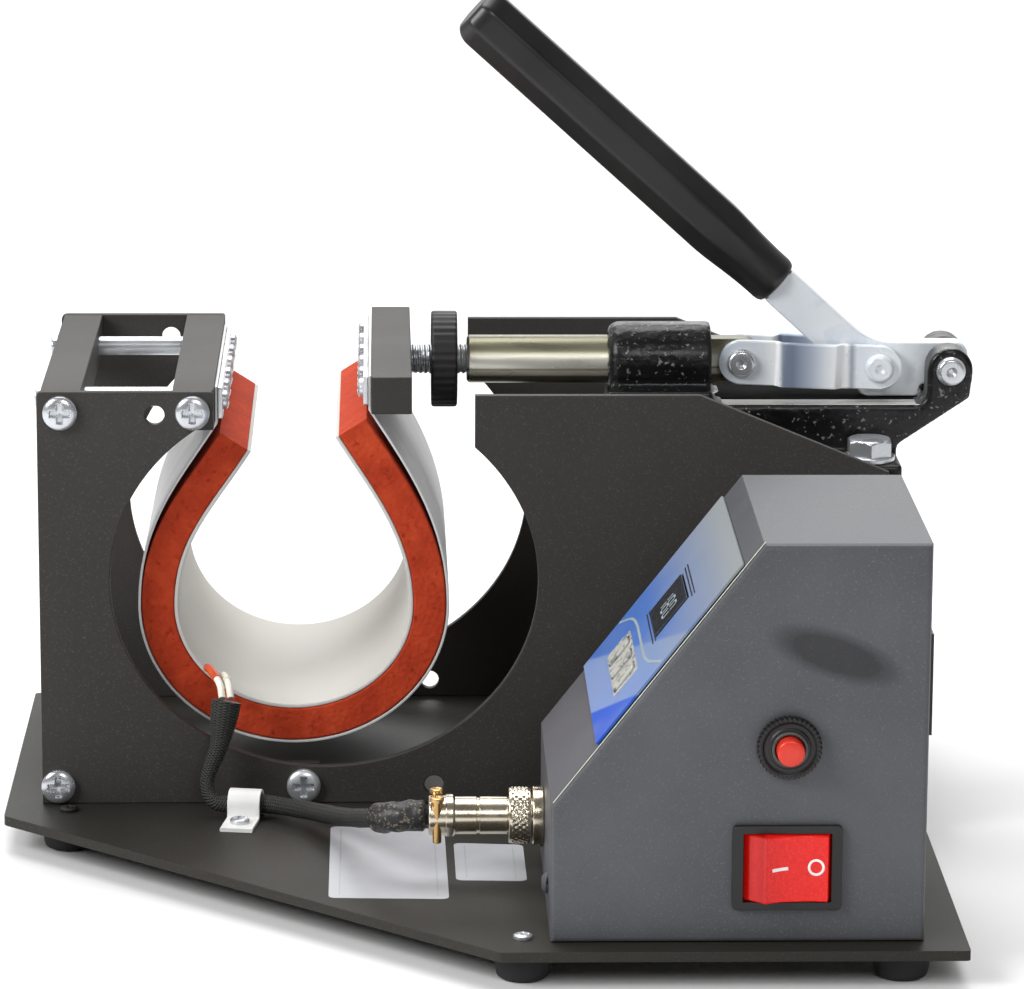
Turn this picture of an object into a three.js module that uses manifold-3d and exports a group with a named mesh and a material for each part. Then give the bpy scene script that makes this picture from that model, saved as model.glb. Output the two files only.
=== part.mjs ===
// Mug heat press: a wrap-around heater pulled shut on a mug by a push-pull toggle clamp,
// with a control box beside it. Millimetres, +X to the right, +Y to the back, +Z up.
// While it is modelled, X = 0 is the mug's axis, Y = 0 lies midway between the side plates
// and Z = 0 is the top of the base plate. It is drawn closed and locked, with the power off.
import * as THREE from "three";
import { mergeVertices } from "three/addons/utils/BufferGeometryUtils.js";
import Module from "manifold-3d";

const wasm = await Module();
wasm.setup();

// Clearances shared by the whole machine
const seatGap = 0.1;
const fitGap = 0.3;
const cutOverrun = 1;
const smallSegments = 8;
const roundSegments = 14;
const fineSegments = 20;
const curveSegments = 4;
const cutoutSegments = 12;
const edgeShare = 0.48;
const panRimShare = 0.45;
const panCrownShare = 0.6;

// Base plate
const baseThickness = 3;
const baseLeft = 88.5;
const baseRightMargin = 12.4;
const baseBack = 66;
const baseFront = 210.5;
const baseNoseLeft = 60;
const baseShoulder = 76.5;
const baseCornerRadius = 1.5;
const tabWidth = 9.6;
const tabHeight = 12;
const tabSlotLength = 9;

// Feet
const footRadius = 8.6;
const footTipRadius = 7.4;
const footHeight = 8;
const footFrontInset = 13;
const footSideInset = 18.3;
const footBackInset = 14.5;
const shoulderFootInset = 19.6;
const shoulderFootSetback = 5.5;
const noseFootInset = 6.8;
const footShoulderShare = 0.2;
const footScrewRadius = 2;
const footScrewHeadRadius = 2.8;
const footScrewHeadHeight = 1.4;

// Side plates and the tabs that stand above the cut-out
const plateGap = 121;
const plateThickness = 3;
const plateLeft = 77.5;
const plateRight = 182;
const leftTabTop = 129.6;
const rightTabTop = 128.4;
const rightTabLeft = 55.5;
const slopeStart = 124;
const slopeDrop = 24;
const plateCornerRadius = 2;
const cutoutShift = 9.5;
const cutoutHalfWidth = 65.5;
const cutoutHalfHeight = 58.8;
const cutoutSill = 11.6;
const accessHoleRadius = 3;
const accessHoleFromTop = 7.2;
const accessHoleFromFace = 17.7;
const lowerHoleX = 43.2;
const lowerHoleZ = 5.6;

// Plate screws, M6 pan head
const plateScrewHeadRadius = 5.2;
const plateScrewHeadHeight = 3;
const plateScrewRadius = 2.9;
const tabScrewLength = 8;
const tabScrewZ = 5.8;
const leftTabX = 72.5;
const middleTabX = 3;
const rightTabX = 166;

// Cross bars and the rods that tie them
const barSize = 12.4;
const barInset = 1;
const rodRadius = 3;
const rodSpacing = 80;
const rodTailLength = 3;
const rodEntry = 8;
const rodScrewGap = 6.5;

// Heater ring, measured on the sponge's outer face
const neckWidth = 48;
const heaterWidth = 100;
const ringHalfWidth = 47;
const ringDrop = 43;
const ringFloorGap = 16.5;
const spongeThickness = 10;
const matThickness = 1.2;
const bandThickness = 0.8;
const bandStandOff = 2;
const shoulderLift = 25;
const shoulderReach = 20;
const shoulderLean = THREE.MathUtils.degToRad(32);
const spongeEndDrop = 3;
const ringSteps = 18;
const shoulderSteps = 7;

// Strips that clamp the band's ends to the bars
const stripThickness = 1.5;
const stripMargin = 1.2;
const stripScrewCount = 6;
const stripScrewHeadRadius = 2.9;
const stripScrewHeadHeight = 1.9;
const stripScrewRadius = 1.5;
const stripScrewLength = 8;
const stripScrewEndInset = 5;

// Press block, adjusting screw and plunger
const clampAxisZ = 127.2;
const blockHeight = 11.5;
const blockThickness = 12.4;
const blockSideGap = 3;
const studRadius = 4.8;
const studNeckLength = 6.4;
const studPocketDepth = 9.5;
const wheelRadius = 15.2;
const wheelThickness = 8.2;
const wheelTeeth = 24;
const wheelToothDepth = 0.8;
const wheelToPlunger = 3;
const plungerRadius = 7.6;
const plungerChamfer = 0.8;
const studEntry = 14;
const plungerCylinderLength = 74.5;

// Toggle clamp: pivots of the lever and the links
const crankLength = 21.5;
const linkLength = 43.8;
const overCentre = 1.2;
const pivotDrop = 0.8;
const tongueReach = 12;
const leverThickness = 7;
const layerGap = 0.4;
const linkThickness = 3;
const linkHalfWidth = 7;
const linkJoggle = 2.4;
const joggleStartShare = 0.24;
const joggleEndShare = 0.74;
const joggleRunShare = 0.06;
const pinRadius = 3;
const pinHeadRadius = 4.6;
const pinHeadHeight = 2.4;
const pinDimpleRadius = 1.5;
const pinDimpleDepth = 0.7;
const pinRimShare = 0.5;
const pinCrownShare = 0.8;

// Clamp casting
const barrelRadius = 12;
const barrelLength = 33;
const barrelShoulder = 5;
const barrelRoundSteps = 4;
const barrelRoundShare = 0.8;
const barrelToPin = 9.5;
const castingHalfWidth = 16;
const ledgeDrop = 11.8;
const footDrop = 27.2;
const footPlateThickness = 5;
const footPlateWidth = 68;
const earRadius = 7.2;
const heelLength = 6.3;
const heelDrop = 8.7;
const toeSetback = 22.8;
const toeDrop = 24;
const castingFillet = 4;
const boltSpacing = 51;
const boltEndInset = 9.6;
const boltRadius = 4;
const boltLength = 18;
const boltHeadAcross = 13;
const boltHeadHeight = 5.3;
const washerRadius = 8;
const washerThickness = 1.6;
const nutHeight = 6.5;

// Bracket that carries the casting between the side plates
const bracketThickness = 5;
const bracketLegHeight = 24;
const bracketOverhang = 0.5;
const bracketScrewDrop = 12;
const bracketScrewSetback = 42;
const bracketScrewSpacing = 26;

// Lever plate and grip
const armWidth = 12.5;
const armTilt = THREE.MathUtils.degToRad(42.5);
const gripTilt = THREE.MathUtils.degToRad(42);
const leverTopRise = 6.8;
const bellyFront = 8.5;
const bellyBack = 27;
const leverFillet = 5;
const leverHeadRoundShare = 0.7;
const leverBellyRoundShare = 0.6;
const leverElbowRoundShare = 1.6;
const armElbowBack = 37.8;
const armElbowRise = 10.4;
const armLength = 21.3;
const tangLength = 96;
const gripLength = 129.5;
const gripRadius = 10;
const gripNeckRadius = 8.3;
const gripNeckLengthShare = 0.2;
const gripEndRounding = 4.5;
const gripMouthShare = 0.75;
const gripMouthPlaceShare = 0.5;
const gripWaistShare = 1.05;
const gripWaistPlaceShare = 0.6;
const gripTipShare = 0.72;
const gripFlatShare = 0.86;
const gripFacets = 8;
const tangWidth = 10;

// Control box
const boxLeft = 74.4;
const boxWidth = 105.7;
const boxDepth = 89;
const boxFront = 202.5;
const boxHeight = 115.5;
const boxSillHeight = 40;
const boxRoofWidth = 47;
const boxWall = 1.2;
const boxEdgeRadius = 1.6;
const trayFlangeHeight = 18;
const boxScrewZ = 11;
const boxScrewRadius = 1.9;
const boxScrewLength = 5;
const boxScrewHeadRadius = 3.2;
const boxScrewHeadHeight = 1.8;
const boxScrewInset = 22;

// Front of the control box: rocker switch and reset breaker
const frontControlX = 66.4;
const rockerZ = 22.5;
const bezelWidth = 30.8;
const bezelHeight = 24.6;
const bezelThickness = 1.8;
const bezelCornerRadius = 1.5;
const switchBodyDepth = 16;
const switchBodyInset = 1.8;
const rockerRadius = 12.1;
const rockerHeight = 19.4;
const rockerRise = 4.2;
const rockerTilt = THREE.MathUtils.degToRad(7);
const rockerPivotDepth = 3;
const rockerSkirtAngle = THREE.MathUtils.degToRad(-12);
const rockerKeelHalfWidth = 6;
const rockerKeelDepth = 4;
const rockerPocketDepth = 9;
const breakerZ = 57.6;
const breakerNutRadius = 9.2;
const breakerNutThickness = 3;
const breakerNutTeeth = 20;
const breakerNutToothDepth = 0.6;
const breakerBushRadius = 5.2;
const breakerBushRise = 1.2;
const breakerBodyRadius = 7;
const breakerBodyDepth = 22;
const breakerButtonRadius = 3.9;
const breakerButtonRise = 4.2;
const breakerButtonDepth = 8;
const breakerButtonRounding = 1;
const breakerButtonCrownShare = 0.82;
const breakerTravel = 2;

// Mains inlet on the right wall
const inletZ = 66;
const inletFlangeHeight = 44;
const inletFlangeWidth = 26;
const inletFlangeThickness = 2.3;
const inletBodyHeight = 30;
const inletBodyWidth = 21;
const inletRise = 4.5;
const inletDepth = 20;
const inletCavityMargin = 2.2;
const inletCavityDepth = 15;
const inletPinLength = 10;
const inletPinWidth = 2;
const inletPinHeight = 4;
const inletPinSpacing = 7;
const inletPinStagger = 2;
const inletCornerRadius = 4;
const inletScrewRadius = 1.5;
const inletScrewHeadRadius = 2.7;
const inletScrewHeadHeight = 1.4;
const inletScrewSpacing = 37;

// Panel on the slope, its display and its keys
const panelStart = 21.6;
const panelLength = 65.7;
const panelThickness = 0.8;
const panelSideMargin = 1.2;
const displayCentre = 58.6;
const displayLength = 15;
const displayWidth = 28;
const displayDepth = 6;
const displayRise = 0.5;
const keyCentre = 36.6;
const keySize = 9;
const keySpacing = 14;
const keyRise = 0.9;
const keyDepth = 3;
const keyCornerRadius = 2;

// Inside the control box
const boardThickness = 1.6;
const standoffHeight = 8;
const standoffRadius = 2.6;
const standoffInset = 3.9;
const boardBackMargin = 6;
const boardFrontMargin = 1.6;
const boardLeftMargin = 20;
const boardRightMargin = 15.7;
const relayHeight = 14;
const relayWidth = 18;
const relayDepth = 15;
const relayInset = 11.7;
const terminalsWidth = 18;
const terminalsDepth = 15;
const transformerWidth = 34;
const transformerDepth = 26;
const transformerHeight = 24;
const transformerLaminationShare = 0.62;
const transformerMargin = 5;
const sinkWidth = 22;
const sinkDepth = 30;
const sinkBase = 4;
const sinkFinHeight = 16;
const sinkFinCount = 6;
const sinkFinThickness = 1.6;
const sinkMargin = 8;

// Heater connector on the left wall of the box
const plugAxisY = 59;
const plugAxisZ = 20;
const socketFlangeRadius = 8.6;
const socketFlangeThickness = 3.4;
const socketNeckRadius = 5;
const socketNeckLength = 9;
const socketTailRadius = 6;
const socketTailLength = 10;
const plugRingRadius = 8.4;
const plugRingLength = 6.6;
const plugRingTeeth = 24;
const plugRingToothDepth = 0.45;
const plugBarrelRadius = 5.5;
const plugBarrelLength = 18.4;
const plugCollarRadius = 6.2;
const plugCollarLength = 2.4;
const saddleRadius = 5.9;
const saddleLength = 5;
const saddleBoreGap = 0.6;
const saddleScrewRadius = 1.3;
const saddleScrewLength = 14;

// Heater lead: wires, braided sleeve, clip on the base plate
const sleeveRadius = 2.8;
const sleeveSides = 8;
const sleeveSteps = 26;
const cuffRadius = 4.1;
const cuffLength = 17;
const cuffSteps = 8;
const cuffSpans = 5;
const wireRadius = 1.1;
const wireSides = 6;
const wireSteps = 6;
const clipX = -14.5;
const clipY = -78.5;
const clipWidth = 10;
const clipThickness = 1.2;
const clipFlat = 12;
const clipBoreGap = 0.5;
const clipScrewHeadRadius = 3;
const clipScrewHeadHeight = 1.8;
const clipScrewRadius = 1.6;

// Places worked out from the sizes above
const innerFace = plateGap / 2;
const outerFace = innerFace + plateThickness;
const plateScrewLength = outerFace - rodSpacing / 2 - rodRadius - rodScrewGap;
const barFace = neckWidth / 2;
const barTop = leftTabTop;
const barBottom = barTop - barSize;
const blockBottom = clampAxisZ - blockHeight / 2;
const blockTop = blockBottom + blockHeight;
const ringCentreZ = ringFloorGap + ringDrop;
const blockRight = barFace + blockThickness;
const wheelLeft = blockRight + studNeckLength;
const plungerLeft = wheelLeft + wheelThickness + wheelToPlunger;
const pinAX = plungerLeft + plungerCylinderLength + tongueReach;
const linkReach = Math.sqrt(linkLength ** 2 - overCentre ** 2);
const toggleReach = linkReach + Math.sqrt(crankLength ** 2 - overCentre ** 2);
const pivotX = pinAX + Math.sqrt(toggleReach ** 2 - pivotDrop ** 2);
const pivotZ = clampAxisZ - pivotDrop;
const crankAngle = Math.asin(pivotDrop / toggleReach) - Math.asin(overCentre / crankLength);
const pinBX = pivotX - crankLength * Math.cos(crankAngle);
const pinBZ = pivotZ + crankLength * Math.sin(crankAngle);
const linkAngle = Math.atan2(pinBZ - clampAxisZ, pinBX - pinAX);
const layerInner = leverThickness / 2 + layerGap;
const layerOuter = layerInner + linkThickness;
const barrelRight = pinAX - barrelToPin;
const barrelLeft = barrelRight - barrelLength;
const ledgeZ = clampAxisZ - ledgeDrop;
const leverBellyDrop = pivotZ - ledgeZ - fitGap;
const footTop = clampAxisZ - footDrop;
const footBottom = footTop - footPlateThickness;
const heelX = pivotX + heelLength;
const toeX = heelX - toeSetback;
const cutoutZ = cutoutSill + cutoutHalfHeight;
const baseRight = boxLeft + boxWidth + baseRightMargin;
const slopeRun = boxWidth - boxRoofWidth;
const slopeRise = boxHeight - boxSillHeight;
const slopeAngle = Math.atan2(slopeRise, slopeRun);

// Solids are cut and joined from closed meshes whose shared vertices are merged
function toSolid(geometry) {
  const bare = geometry.clone();
  bare.deleteAttribute("normal");
  bare.deleteAttribute("uv");
  const merged = mergeVertices(bare);
  return new wasm.Manifold(new wasm.Mesh({
    numProp: 3,
    vertProperties: Float32Array.from(merged.attributes.position.array),
    triVerts: Uint32Array.from(merged.index.array),
  }));
}

function toGeometry(solid) {
  const { vertProperties, triVerts } = solid.getMesh();
  const geometry = new THREE.BufferGeometry();
  geometry.setAttribute("position", new THREE.BufferAttribute(vertProperties, 3));
  geometry.setIndex(new THREE.BufferAttribute(triVerts, 1));
  const flat = geometry.toNonIndexed();
  flat.computeVertexNormals();
  return flat;
}

function join(...solids) {
  return solids.reduce((whole, piece) => whole.add(piece));
}

function cut(solid, ...tools) {
  return tools.reduce((rest, tool) => rest.subtract(tool), solid);
}

function box(x0, x1, y0, y1, z0, z1) {
  const geometry = new THREE.BoxGeometry(x1 - x0, y1 - y0, z1 - z0);
  return toSolid(geometry.translate((x0 + x1) / 2, (y0 + y1) / 2, (z0 + z1) / 2));
}

// Outlines run anticlockwise and their holes clockwise, whichever way they were drawn
function orderedShape(shape, segments) {
  const { shape: rim, holes } = shape.extractPoints(segments);
  const turn = (points, clockwise) =>
    (THREE.ShapeUtils.isClockWise(points) === clockwise ? points : points.slice().reverse());
  const ordered = new THREE.Shape(turn(rim, false));
  ordered.holes = holes.map((hole) => new THREE.Path(turn(hole, true)));
  return ordered;
}

// A shape drawn in X and Z, pulled along Y
function plateAcrossY(shape, y0, y1, bevel = 0, segments = curveSegments) {
  const geometry = new THREE.ExtrudeGeometry(orderedShape(shape, segments), {
    depth: y1 - y0 - 2 * bevel, bevelEnabled: bevel > 0, bevelSize: bevel, bevelThickness: bevel,
    bevelOffset: -bevel, bevelSegments: 2,
  });
  return toSolid(geometry.rotateX(Math.PI / 2).translate(0, y1 - bevel, 0));
}

// A shape drawn in Y and Z, pulled along X
function plateAcrossX(shape, x0, x1) {
  const ordered = orderedShape(shape, curveSegments);
  const geometry = new THREE.ExtrudeGeometry(ordered, { depth: x1 - x0, bevelEnabled: false });
  const turn = new THREE.Matrix4().makeBasis(
    new THREE.Vector3(0, 1, 0), new THREE.Vector3(0, 0, 1), new THREE.Vector3(1, 0, 0));
  return toSolid(geometry.applyMatrix4(turn).translate(x0, 0, 0));
}

// A shape drawn in X and Y, pulled along Z
function plateAcrossZ(shape, z0, z1) {
  const ordered = orderedShape(shape, curveSegments);
  const geometry = new THREE.ExtrudeGeometry(ordered, { depth: z1 - z0, bevelEnabled: false });
  return toSolid(geometry.translate(0, 0, z0));
}

// A profile of [radius, height] turned round an axis that points along `direction` from `at`
function turned(profile, at, direction, segments = roundSegments) {
  const points = profile.map(([radius, height]) => new THREE.Vector2(radius, height));
  const geometry = new THREE.LatheGeometry(points, segments);
  const turn = new THREE.Quaternion().setFromUnitVectors(new THREE.Vector3(0, 1, 0), direction);
  return toSolid(geometry.applyQuaternion(turn).translate(at.x, at.y, at.z));
}

function rod(radius, at, direction, length, segments = roundSegments) {
  return turned([[0, 0], [radius, 0], [radius, length], [0, length]], at, direction, segments);
}

// A tool for a round hole: its flats, not its corners, keep the radius
function bore(radius, at, direction, length, segments = roundSegments) {
  return rod(radius / Math.cos(Math.PI / segments), at, direction, length, segments);
}

function vector(x, y, z) {
  return new THREE.Vector3(x, y, z);
}

const right = vector(1, 0, 0);
const left = vector(-1, 0, 0);
const back = vector(0, 1, 0);
const front = vector(0, -1, 0);
const up = vector(0, 0, 1);
const down = vector(0, 0, -1);

// An outline from corners of [x, y, radius], each rounded by a curve no longer than its edges allow
function roundedShape(corners) {
  const shape = new THREE.Shape();
  corners.forEach(([x, y, radius = 0], index) => {
    const corner = new THREE.Vector2(x, y);
    const before = new THREE.Vector2(...corners[(index + corners.length - 1) % corners.length].slice(0, 2));
    const after = new THREE.Vector2(...corners[(index + 1) % corners.length].slice(0, 2));
    const reach = Math.min(
      radius, before.distanceTo(corner) * edgeShare, after.distanceTo(corner) * edgeShare);
    const enter = corner.clone().add(before.sub(corner).setLength(reach));
    const leave = corner.clone().add(after.sub(corner).setLength(reach));
    if (index === 0) shape.moveTo(enter.x, enter.y);
    else shape.lineTo(enter.x, enter.y);
    if (radius > 0) shape.quadraticCurveTo(x, y, leave.x, leave.y);
  });
  shape.closePath();
  return shape;
}

function rectangle(x0, x1, y0, y1, radius = 0) {
  return roundedShape([[x0, y0, radius], [x1, y0, radius], [x1, y1, radius], [x0, y1, radius]]);
}

function circleHole(x, y, radius) {
  const flatRadius = radius / Math.cos(Math.PI / (2 * curveSegments));
  return new THREE.Path().absarc(x, y, flatRadius, 0, 2 * Math.PI, true);
}

// A disc outline with a knurled rim
function knurledShape(radius, teeth, depth) {
  const shape = new THREE.Shape();
  for (let step = 0; step < teeth * 2; step += 1) {
    const angle = (step * Math.PI) / teeth;
    const reach = step % 2 ? radius - depth : radius;
    if (step === 0) shape.moveTo(reach * Math.cos(angle), reach * Math.sin(angle));
    else shape.lineTo(reach * Math.cos(angle), reach * Math.sin(angle));
  }
  shape.closePath();
  return shape;
}

function hexShape(across) {
  const corners = [];
  for (let side = 0; side < 6; side += 1) {
    const angle = (side * Math.PI) / 3;
    corners.push([(across / Math.sqrt(3)) * Math.cos(angle), (across / Math.sqrt(3)) * Math.sin(angle)]);
  }
  return roundedShape(corners);
}

// A pan head screw: head outward along `direction`, shank inward from its seat. It is drawn
// as one piece with what it clamps, and runs through a clearance hole in what lies behind.
function panScrew(seat, direction, headRadius, headHeight, shankRadius, shankLength) {
  return turned([
    [0, -shankLength], [shankRadius, -shankLength], [shankRadius, 0], [headRadius, 0],
    [headRadius, headHeight * panRimShare], [headRadius * panCrownShare, headHeight], [0, headHeight],
  ], seat, direction, smallSegments);
}

// The clearance hole that a screw's shank needs
function shankHole(at, direction, shankRadius, shankLength) {
  const start = at.clone().addScaledVector(direction, cutOverrun);
  const inward = direction.clone().negate();
  return bore(shankRadius + seatGap, start, inward, shankLength + cutOverrun + fitGap, smallSegments);
}

function paint(color, roughness, metalness) {
  return new THREE.MeshStandardMaterial({ color, roughness, metalness });
}

function powderBlack() {
  return paint(0x2b2b2d, 0.62, 0.2);
}

function zinc() {
  return paint(0xc9ccd0, 0.32, 1);
}

function nickel() {
  return paint(0xb9b2a4, 0.25, 1);
}

function addPiece(parent, name, solid, material) {
  const mesh = new THREE.Mesh(toGeometry(solid), material);
  mesh.name = name;
  parent.add(mesh);
  return mesh;
}

// Places of the plate screws: into the bars' ends at the top, into the base's tabs below
const barScrewPlaces = [-plateLeft + barInset + barSize / 2, -barFace - barSize / 2];
const tabPlaces = [-leftTabX, middleTabX, rightTabX];
const barScrewZ = barBottom + barSize / 2;
const bracketScrewPlaces = [-1, 1].map(
  (side) => pivotX - bracketScrewSetback + (side * bracketScrewSpacing) / 2);
const bracketScrewZ = footBottom - bracketScrewDrop;

function basePlate() {
  const shape = roundedShape([
    [-baseLeft, baseBack, baseCornerRadius],
    [-baseLeft, -baseShoulder, baseCornerRadius],
    [baseNoseLeft, -baseFront, baseCornerRadius],
    [baseRight, -baseFront, baseCornerRadius],
    [baseRight, baseBack, baseCornerRadius],
  ]);
  let plate = plateAcrossZ(shape, -baseThickness, 0);
  for (const x of tabPlaces) {
    for (const side of [-1, 1]) {
      const near = innerFace - seatGap;
      const far = near - baseThickness;
      const slotFar = far - tabSlotLength;
      const [slot0, slot1] = [side * far, side * slotFar].sort((a, b) => a - b);
      const [tab0, tab1] = [side * near, side * far].sort((a, b) => a - b);
      const slot = box(
        x - tabWidth / 2, x + tabWidth / 2, slot0, slot1, -baseThickness - cutOverrun, cutOverrun);
      const tab = box(x - tabWidth / 2, x + tabWidth / 2, tab0, tab1, -baseThickness, tabHeight);
      plate = cut(join(cut(plate, slot), tab), tabScrewHole(x, side));
    }
  }
  const below = -baseThickness - cutOverrun;
  const footHoles = footPlaces().map(([x, y]) =>
    bore(footScrewRadius + seatGap, vector(x, y, below), up, cutOverrun - below, smallSegments));
  return cut(plate, ...footHoles, clipScrewHole());
}

function tabScrewHole(x, side) {
  const outward = side < 0 ? front : back;
  return shankHole(vector(x, side * outerFace, tabScrewZ), outward, plateScrewRadius, tabScrewLength);
}

function footPlaces() {
  return [
    [baseNoseLeft + noseFootInset, -baseFront + footFrontInset],
    [baseRight - footSideInset, -baseFront + footFrontInset],
    [-baseLeft + shoulderFootInset, -baseShoulder + shoulderFootSetback],
    [-baseLeft + shoulderFootInset, baseBack - footBackInset],
    [baseRight - footSideInset, baseBack - footBackInset],
  ];
}

// A foot with the screw that holds it, its head on top of the base plate
function rubberFoot([x, y]) {
  const profile = [
    [0, -footHeight], [footTipRadius, -footHeight], [footRadius, -footHeight * footShoulderShare],
    [footRadius, 0], [0, 0],
  ];
  const foot = turned(profile, vector(x, y, -baseThickness - seatGap), up, roundSegments);
  const screw = panScrew(vector(x, y, seatGap), up, footScrewHeadRadius, footScrewHeadHeight, footScrewRadius,
    baseThickness + footHeight / 2);
  return join(foot, screw);
}

function sidePlate(side) {
  const leftFace = -barFace;
  const cos = (x) => (x - cutoutShift) / cutoutHalfWidth;
  const leftAngle = Math.acos(cos(leftFace));
  const rightAngle = Math.acos(cos(rightTabLeft));
  const slopeEndZ = rightTabTop - slopeDrop;
  const shape = new THREE.Shape();
  shape.moveTo(-plateLeft, 0);
  shape.lineTo(-plateLeft, leftTabTop - plateCornerRadius);
  shape.quadraticCurveTo(-plateLeft, leftTabTop, -plateLeft + plateCornerRadius, leftTabTop);
  shape.lineTo(leftFace - plateCornerRadius, leftTabTop);
  shape.quadraticCurveTo(leftFace, leftTabTop, leftFace, leftTabTop - plateCornerRadius);
  shape.absellipse(cutoutShift, cutoutZ, cutoutHalfWidth, cutoutHalfHeight, leftAngle, rightAngle, false, 0);
  shape.lineTo(rightTabLeft, rightTabTop);
  shape.lineTo(slopeStart, rightTabTop);
  shape.lineTo(plateRight, slopeEndZ);
  shape.lineTo(plateRight, 0);
  shape.closePath();
  shape.holes.push(
    circleHole(leftFace - accessHoleFromFace, leftTabTop - accessHoleFromTop, accessHoleRadius));
  shape.holes.push(circleHole(lowerHoleX, lowerHoleZ, accessHoleRadius));
  const [y0, y1] = side < 0 ? [-outerFace, -innerFace] : [innerFace, outerFace];
  const screws = [
    ...barScrewPlaces.map((x) => plateScrew(x, barScrewZ, side, plateScrewLength)),
    ...tabPlaces.map((x) => plateScrew(x, tabScrewZ, side, tabScrewLength)),
    ...bracketScrewPlaces.map((x) => plateScrew(x, bracketScrewZ, side, tabScrewLength)),
  ];
  return join(plateAcrossY(shape, y0, y1, 0, cutoutSegments).translate(0, 0, seatGap), ...screws);
}

function plateScrew(x, z, side, length) {
  return panScrew(vector(x, side * outerFace, z), side < 0 ? front : back, plateScrewHeadRadius,
    plateScrewHeadHeight, plateScrewRadius, length);
}

function crossBar(x0) {
  const half = innerFace - seatGap;
  const bar = box(x0, x0 + barSize, -half, half, barBottom, barTop);
  const centre = x0 + barSize / 2;
  const screwHoles = [-1, 1].map((side) => shankHole(vector(centre, side * outerFace, barScrewZ),
    side < 0 ? front : back, plateScrewRadius, plateScrewLength));
  return cut(bar, ...screwHoles);
}

// Both bars take the tie rods: right through the left one, part way into the anchor bar
function rodHoles() {
  const start = -plateLeft - rodTailLength - cutOverrun;
  const end = -barFace - barSize + rodEntry + fitGap;
  const at = (side) => vector(start, (side * rodSpacing) / 2, barScrewZ);
  return [-1, 1].map((side) => bore(rodRadius + seatGap, at(side), right, end - start, smallSegments));
}

function tieRod(side) {
  const start = -plateLeft + barInset - rodTailLength;
  const end = -barFace - barSize + rodEntry;
  return rod(rodRadius, vector(start, (side * rodSpacing) / 2, barScrewZ), right, end - start, smallSegments);
}

// Points along the ring from its left end, down round the bottom and up to its right end
function ringPoints(halfWidth, drop, leftEnd, rightEnd, lift) {
  const reachX = shoulderReach * Math.sin(shoulderLean);
  const reachZ = shoulderReach * Math.cos(shoulderLean);
  const leftShoulder = new THREE.CubicBezierCurve(
    leftEnd,
    new THREE.Vector2(leftEnd.x - reachX, leftEnd.y - reachZ),
    new THREE.Vector2(-halfWidth, ringCentreZ + lift),
    new THREE.Vector2(-halfWidth, ringCentreZ));
  const bowl = new THREE.EllipseCurve(0, ringCentreZ, halfWidth, drop, Math.PI, 2 * Math.PI, false, 0);
  const rightShoulder = new THREE.CubicBezierCurve(
    new THREE.Vector2(halfWidth, ringCentreZ),
    new THREE.Vector2(halfWidth, ringCentreZ + lift),
    new THREE.Vector2(rightEnd.x + reachX, rightEnd.y - reachZ),
    rightEnd);
  return [
    ...leftShoulder.getPoints(shoulderSteps).slice(0, -1),
    ...bowl.getPoints(ringSteps).slice(0, -1),
    ...rightShoulder.getPoints(shoulderSteps),
  ];
}

// A band's closed outline between two distances outside a line of points, with mitred corners
function bandShape(points, near, far) {
  const normals = points.map((point, index) => {
    const before = points[Math.max(index - 1, 0)];
    const after = points[Math.min(index + 1, points.length - 1)];
    const enter = index > 0 ? point.clone().sub(before).normalize() : after.clone().sub(point).normalize();
    const leave = index < points.length - 1 ? after.clone().sub(point).normalize() : enter;
    const along = enter.clone().add(leave).normalize();
    return new THREE.Vector2(along.y, -along.x).divideScalar(along.dot(enter));
  });
  const place = (distance) => points.map(
    (point, index) => point.clone().addScaledVector(normals[index], distance));
  return new THREE.Shape([...place(near), ...place(far).reverse()]);
}

function spongePoints() {
  const leftEnd = new THREE.Vector2(-barFace + stripThickness, barBottom - spongeEndDrop);
  const rightEnd = new THREE.Vector2(barFace - stripThickness, blockBottom - spongeEndDrop);
  return ringPoints(ringHalfWidth, ringDrop, leftEnd, rightEnd, shoulderLift);
}

function heaterPad(near, far) {
  const half = heaterWidth / 2;
  return plateAcrossY(bandShape(spongePoints(), near, far), -half, half);
}

// The steel band stands off the sponge's shoulders and turns up against the bars' faces
function heaterBand() {
  const half = heaterWidth / 2;
  const face = barFace - seatGap - bandThickness / 2;
  const bandGap = seatGap * 2 + bandThickness / 2;
  const leftFold = new THREE.Vector2(-face, barBottom - seatGap);
  const rightFold = new THREE.Vector2(face, blockBottom - seatGap);
  const ring = ringPoints(
    ringHalfWidth + bandGap, ringDrop + bandGap, leftFold, rightFold, shoulderLift + bandStandOff);
  const points = [
    new THREE.Vector2(-face, barTop - stripMargin), ...ring, new THREE.Vector2(face, blockTop - stripMargin),
  ];
  const band = plateAcrossY(bandShape(points, -bandThickness / 2, bandThickness / 2), -half, half);
  return cut(band, ...stripScrewHoles(-1), ...stripScrewHoles(1));
}

// Places along Y of the screws that hold a strip, kept clear of the stud in the middle
function stripScrewYs() {
  const span = heaterWidth - 2 * stripScrewEndInset;
  const pitch = span / (stripScrewCount - 1);
  return Array.from({ length: stripScrewCount }, (_, index) => -span / 2 + pitch * index);
}

function stripFace() {
  return barFace - seatGap * 2 - bandThickness - stripThickness;
}

function stripHeights(side) {
  return side < 0 ? [barBottom, barTop] : [blockBottom, blockTop];
}

function stripScrewAt(side, y) {
  const [z0, z1] = stripHeights(side);
  return vector(side * stripFace(), y, (z0 + z1) / 2);
}

function stripScrewHoles(side) {
  return stripScrewYs().map((y) =>
    shankHole(stripScrewAt(side, y), side < 0 ? right : left, stripScrewRadius, stripScrewLength));
}

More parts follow.
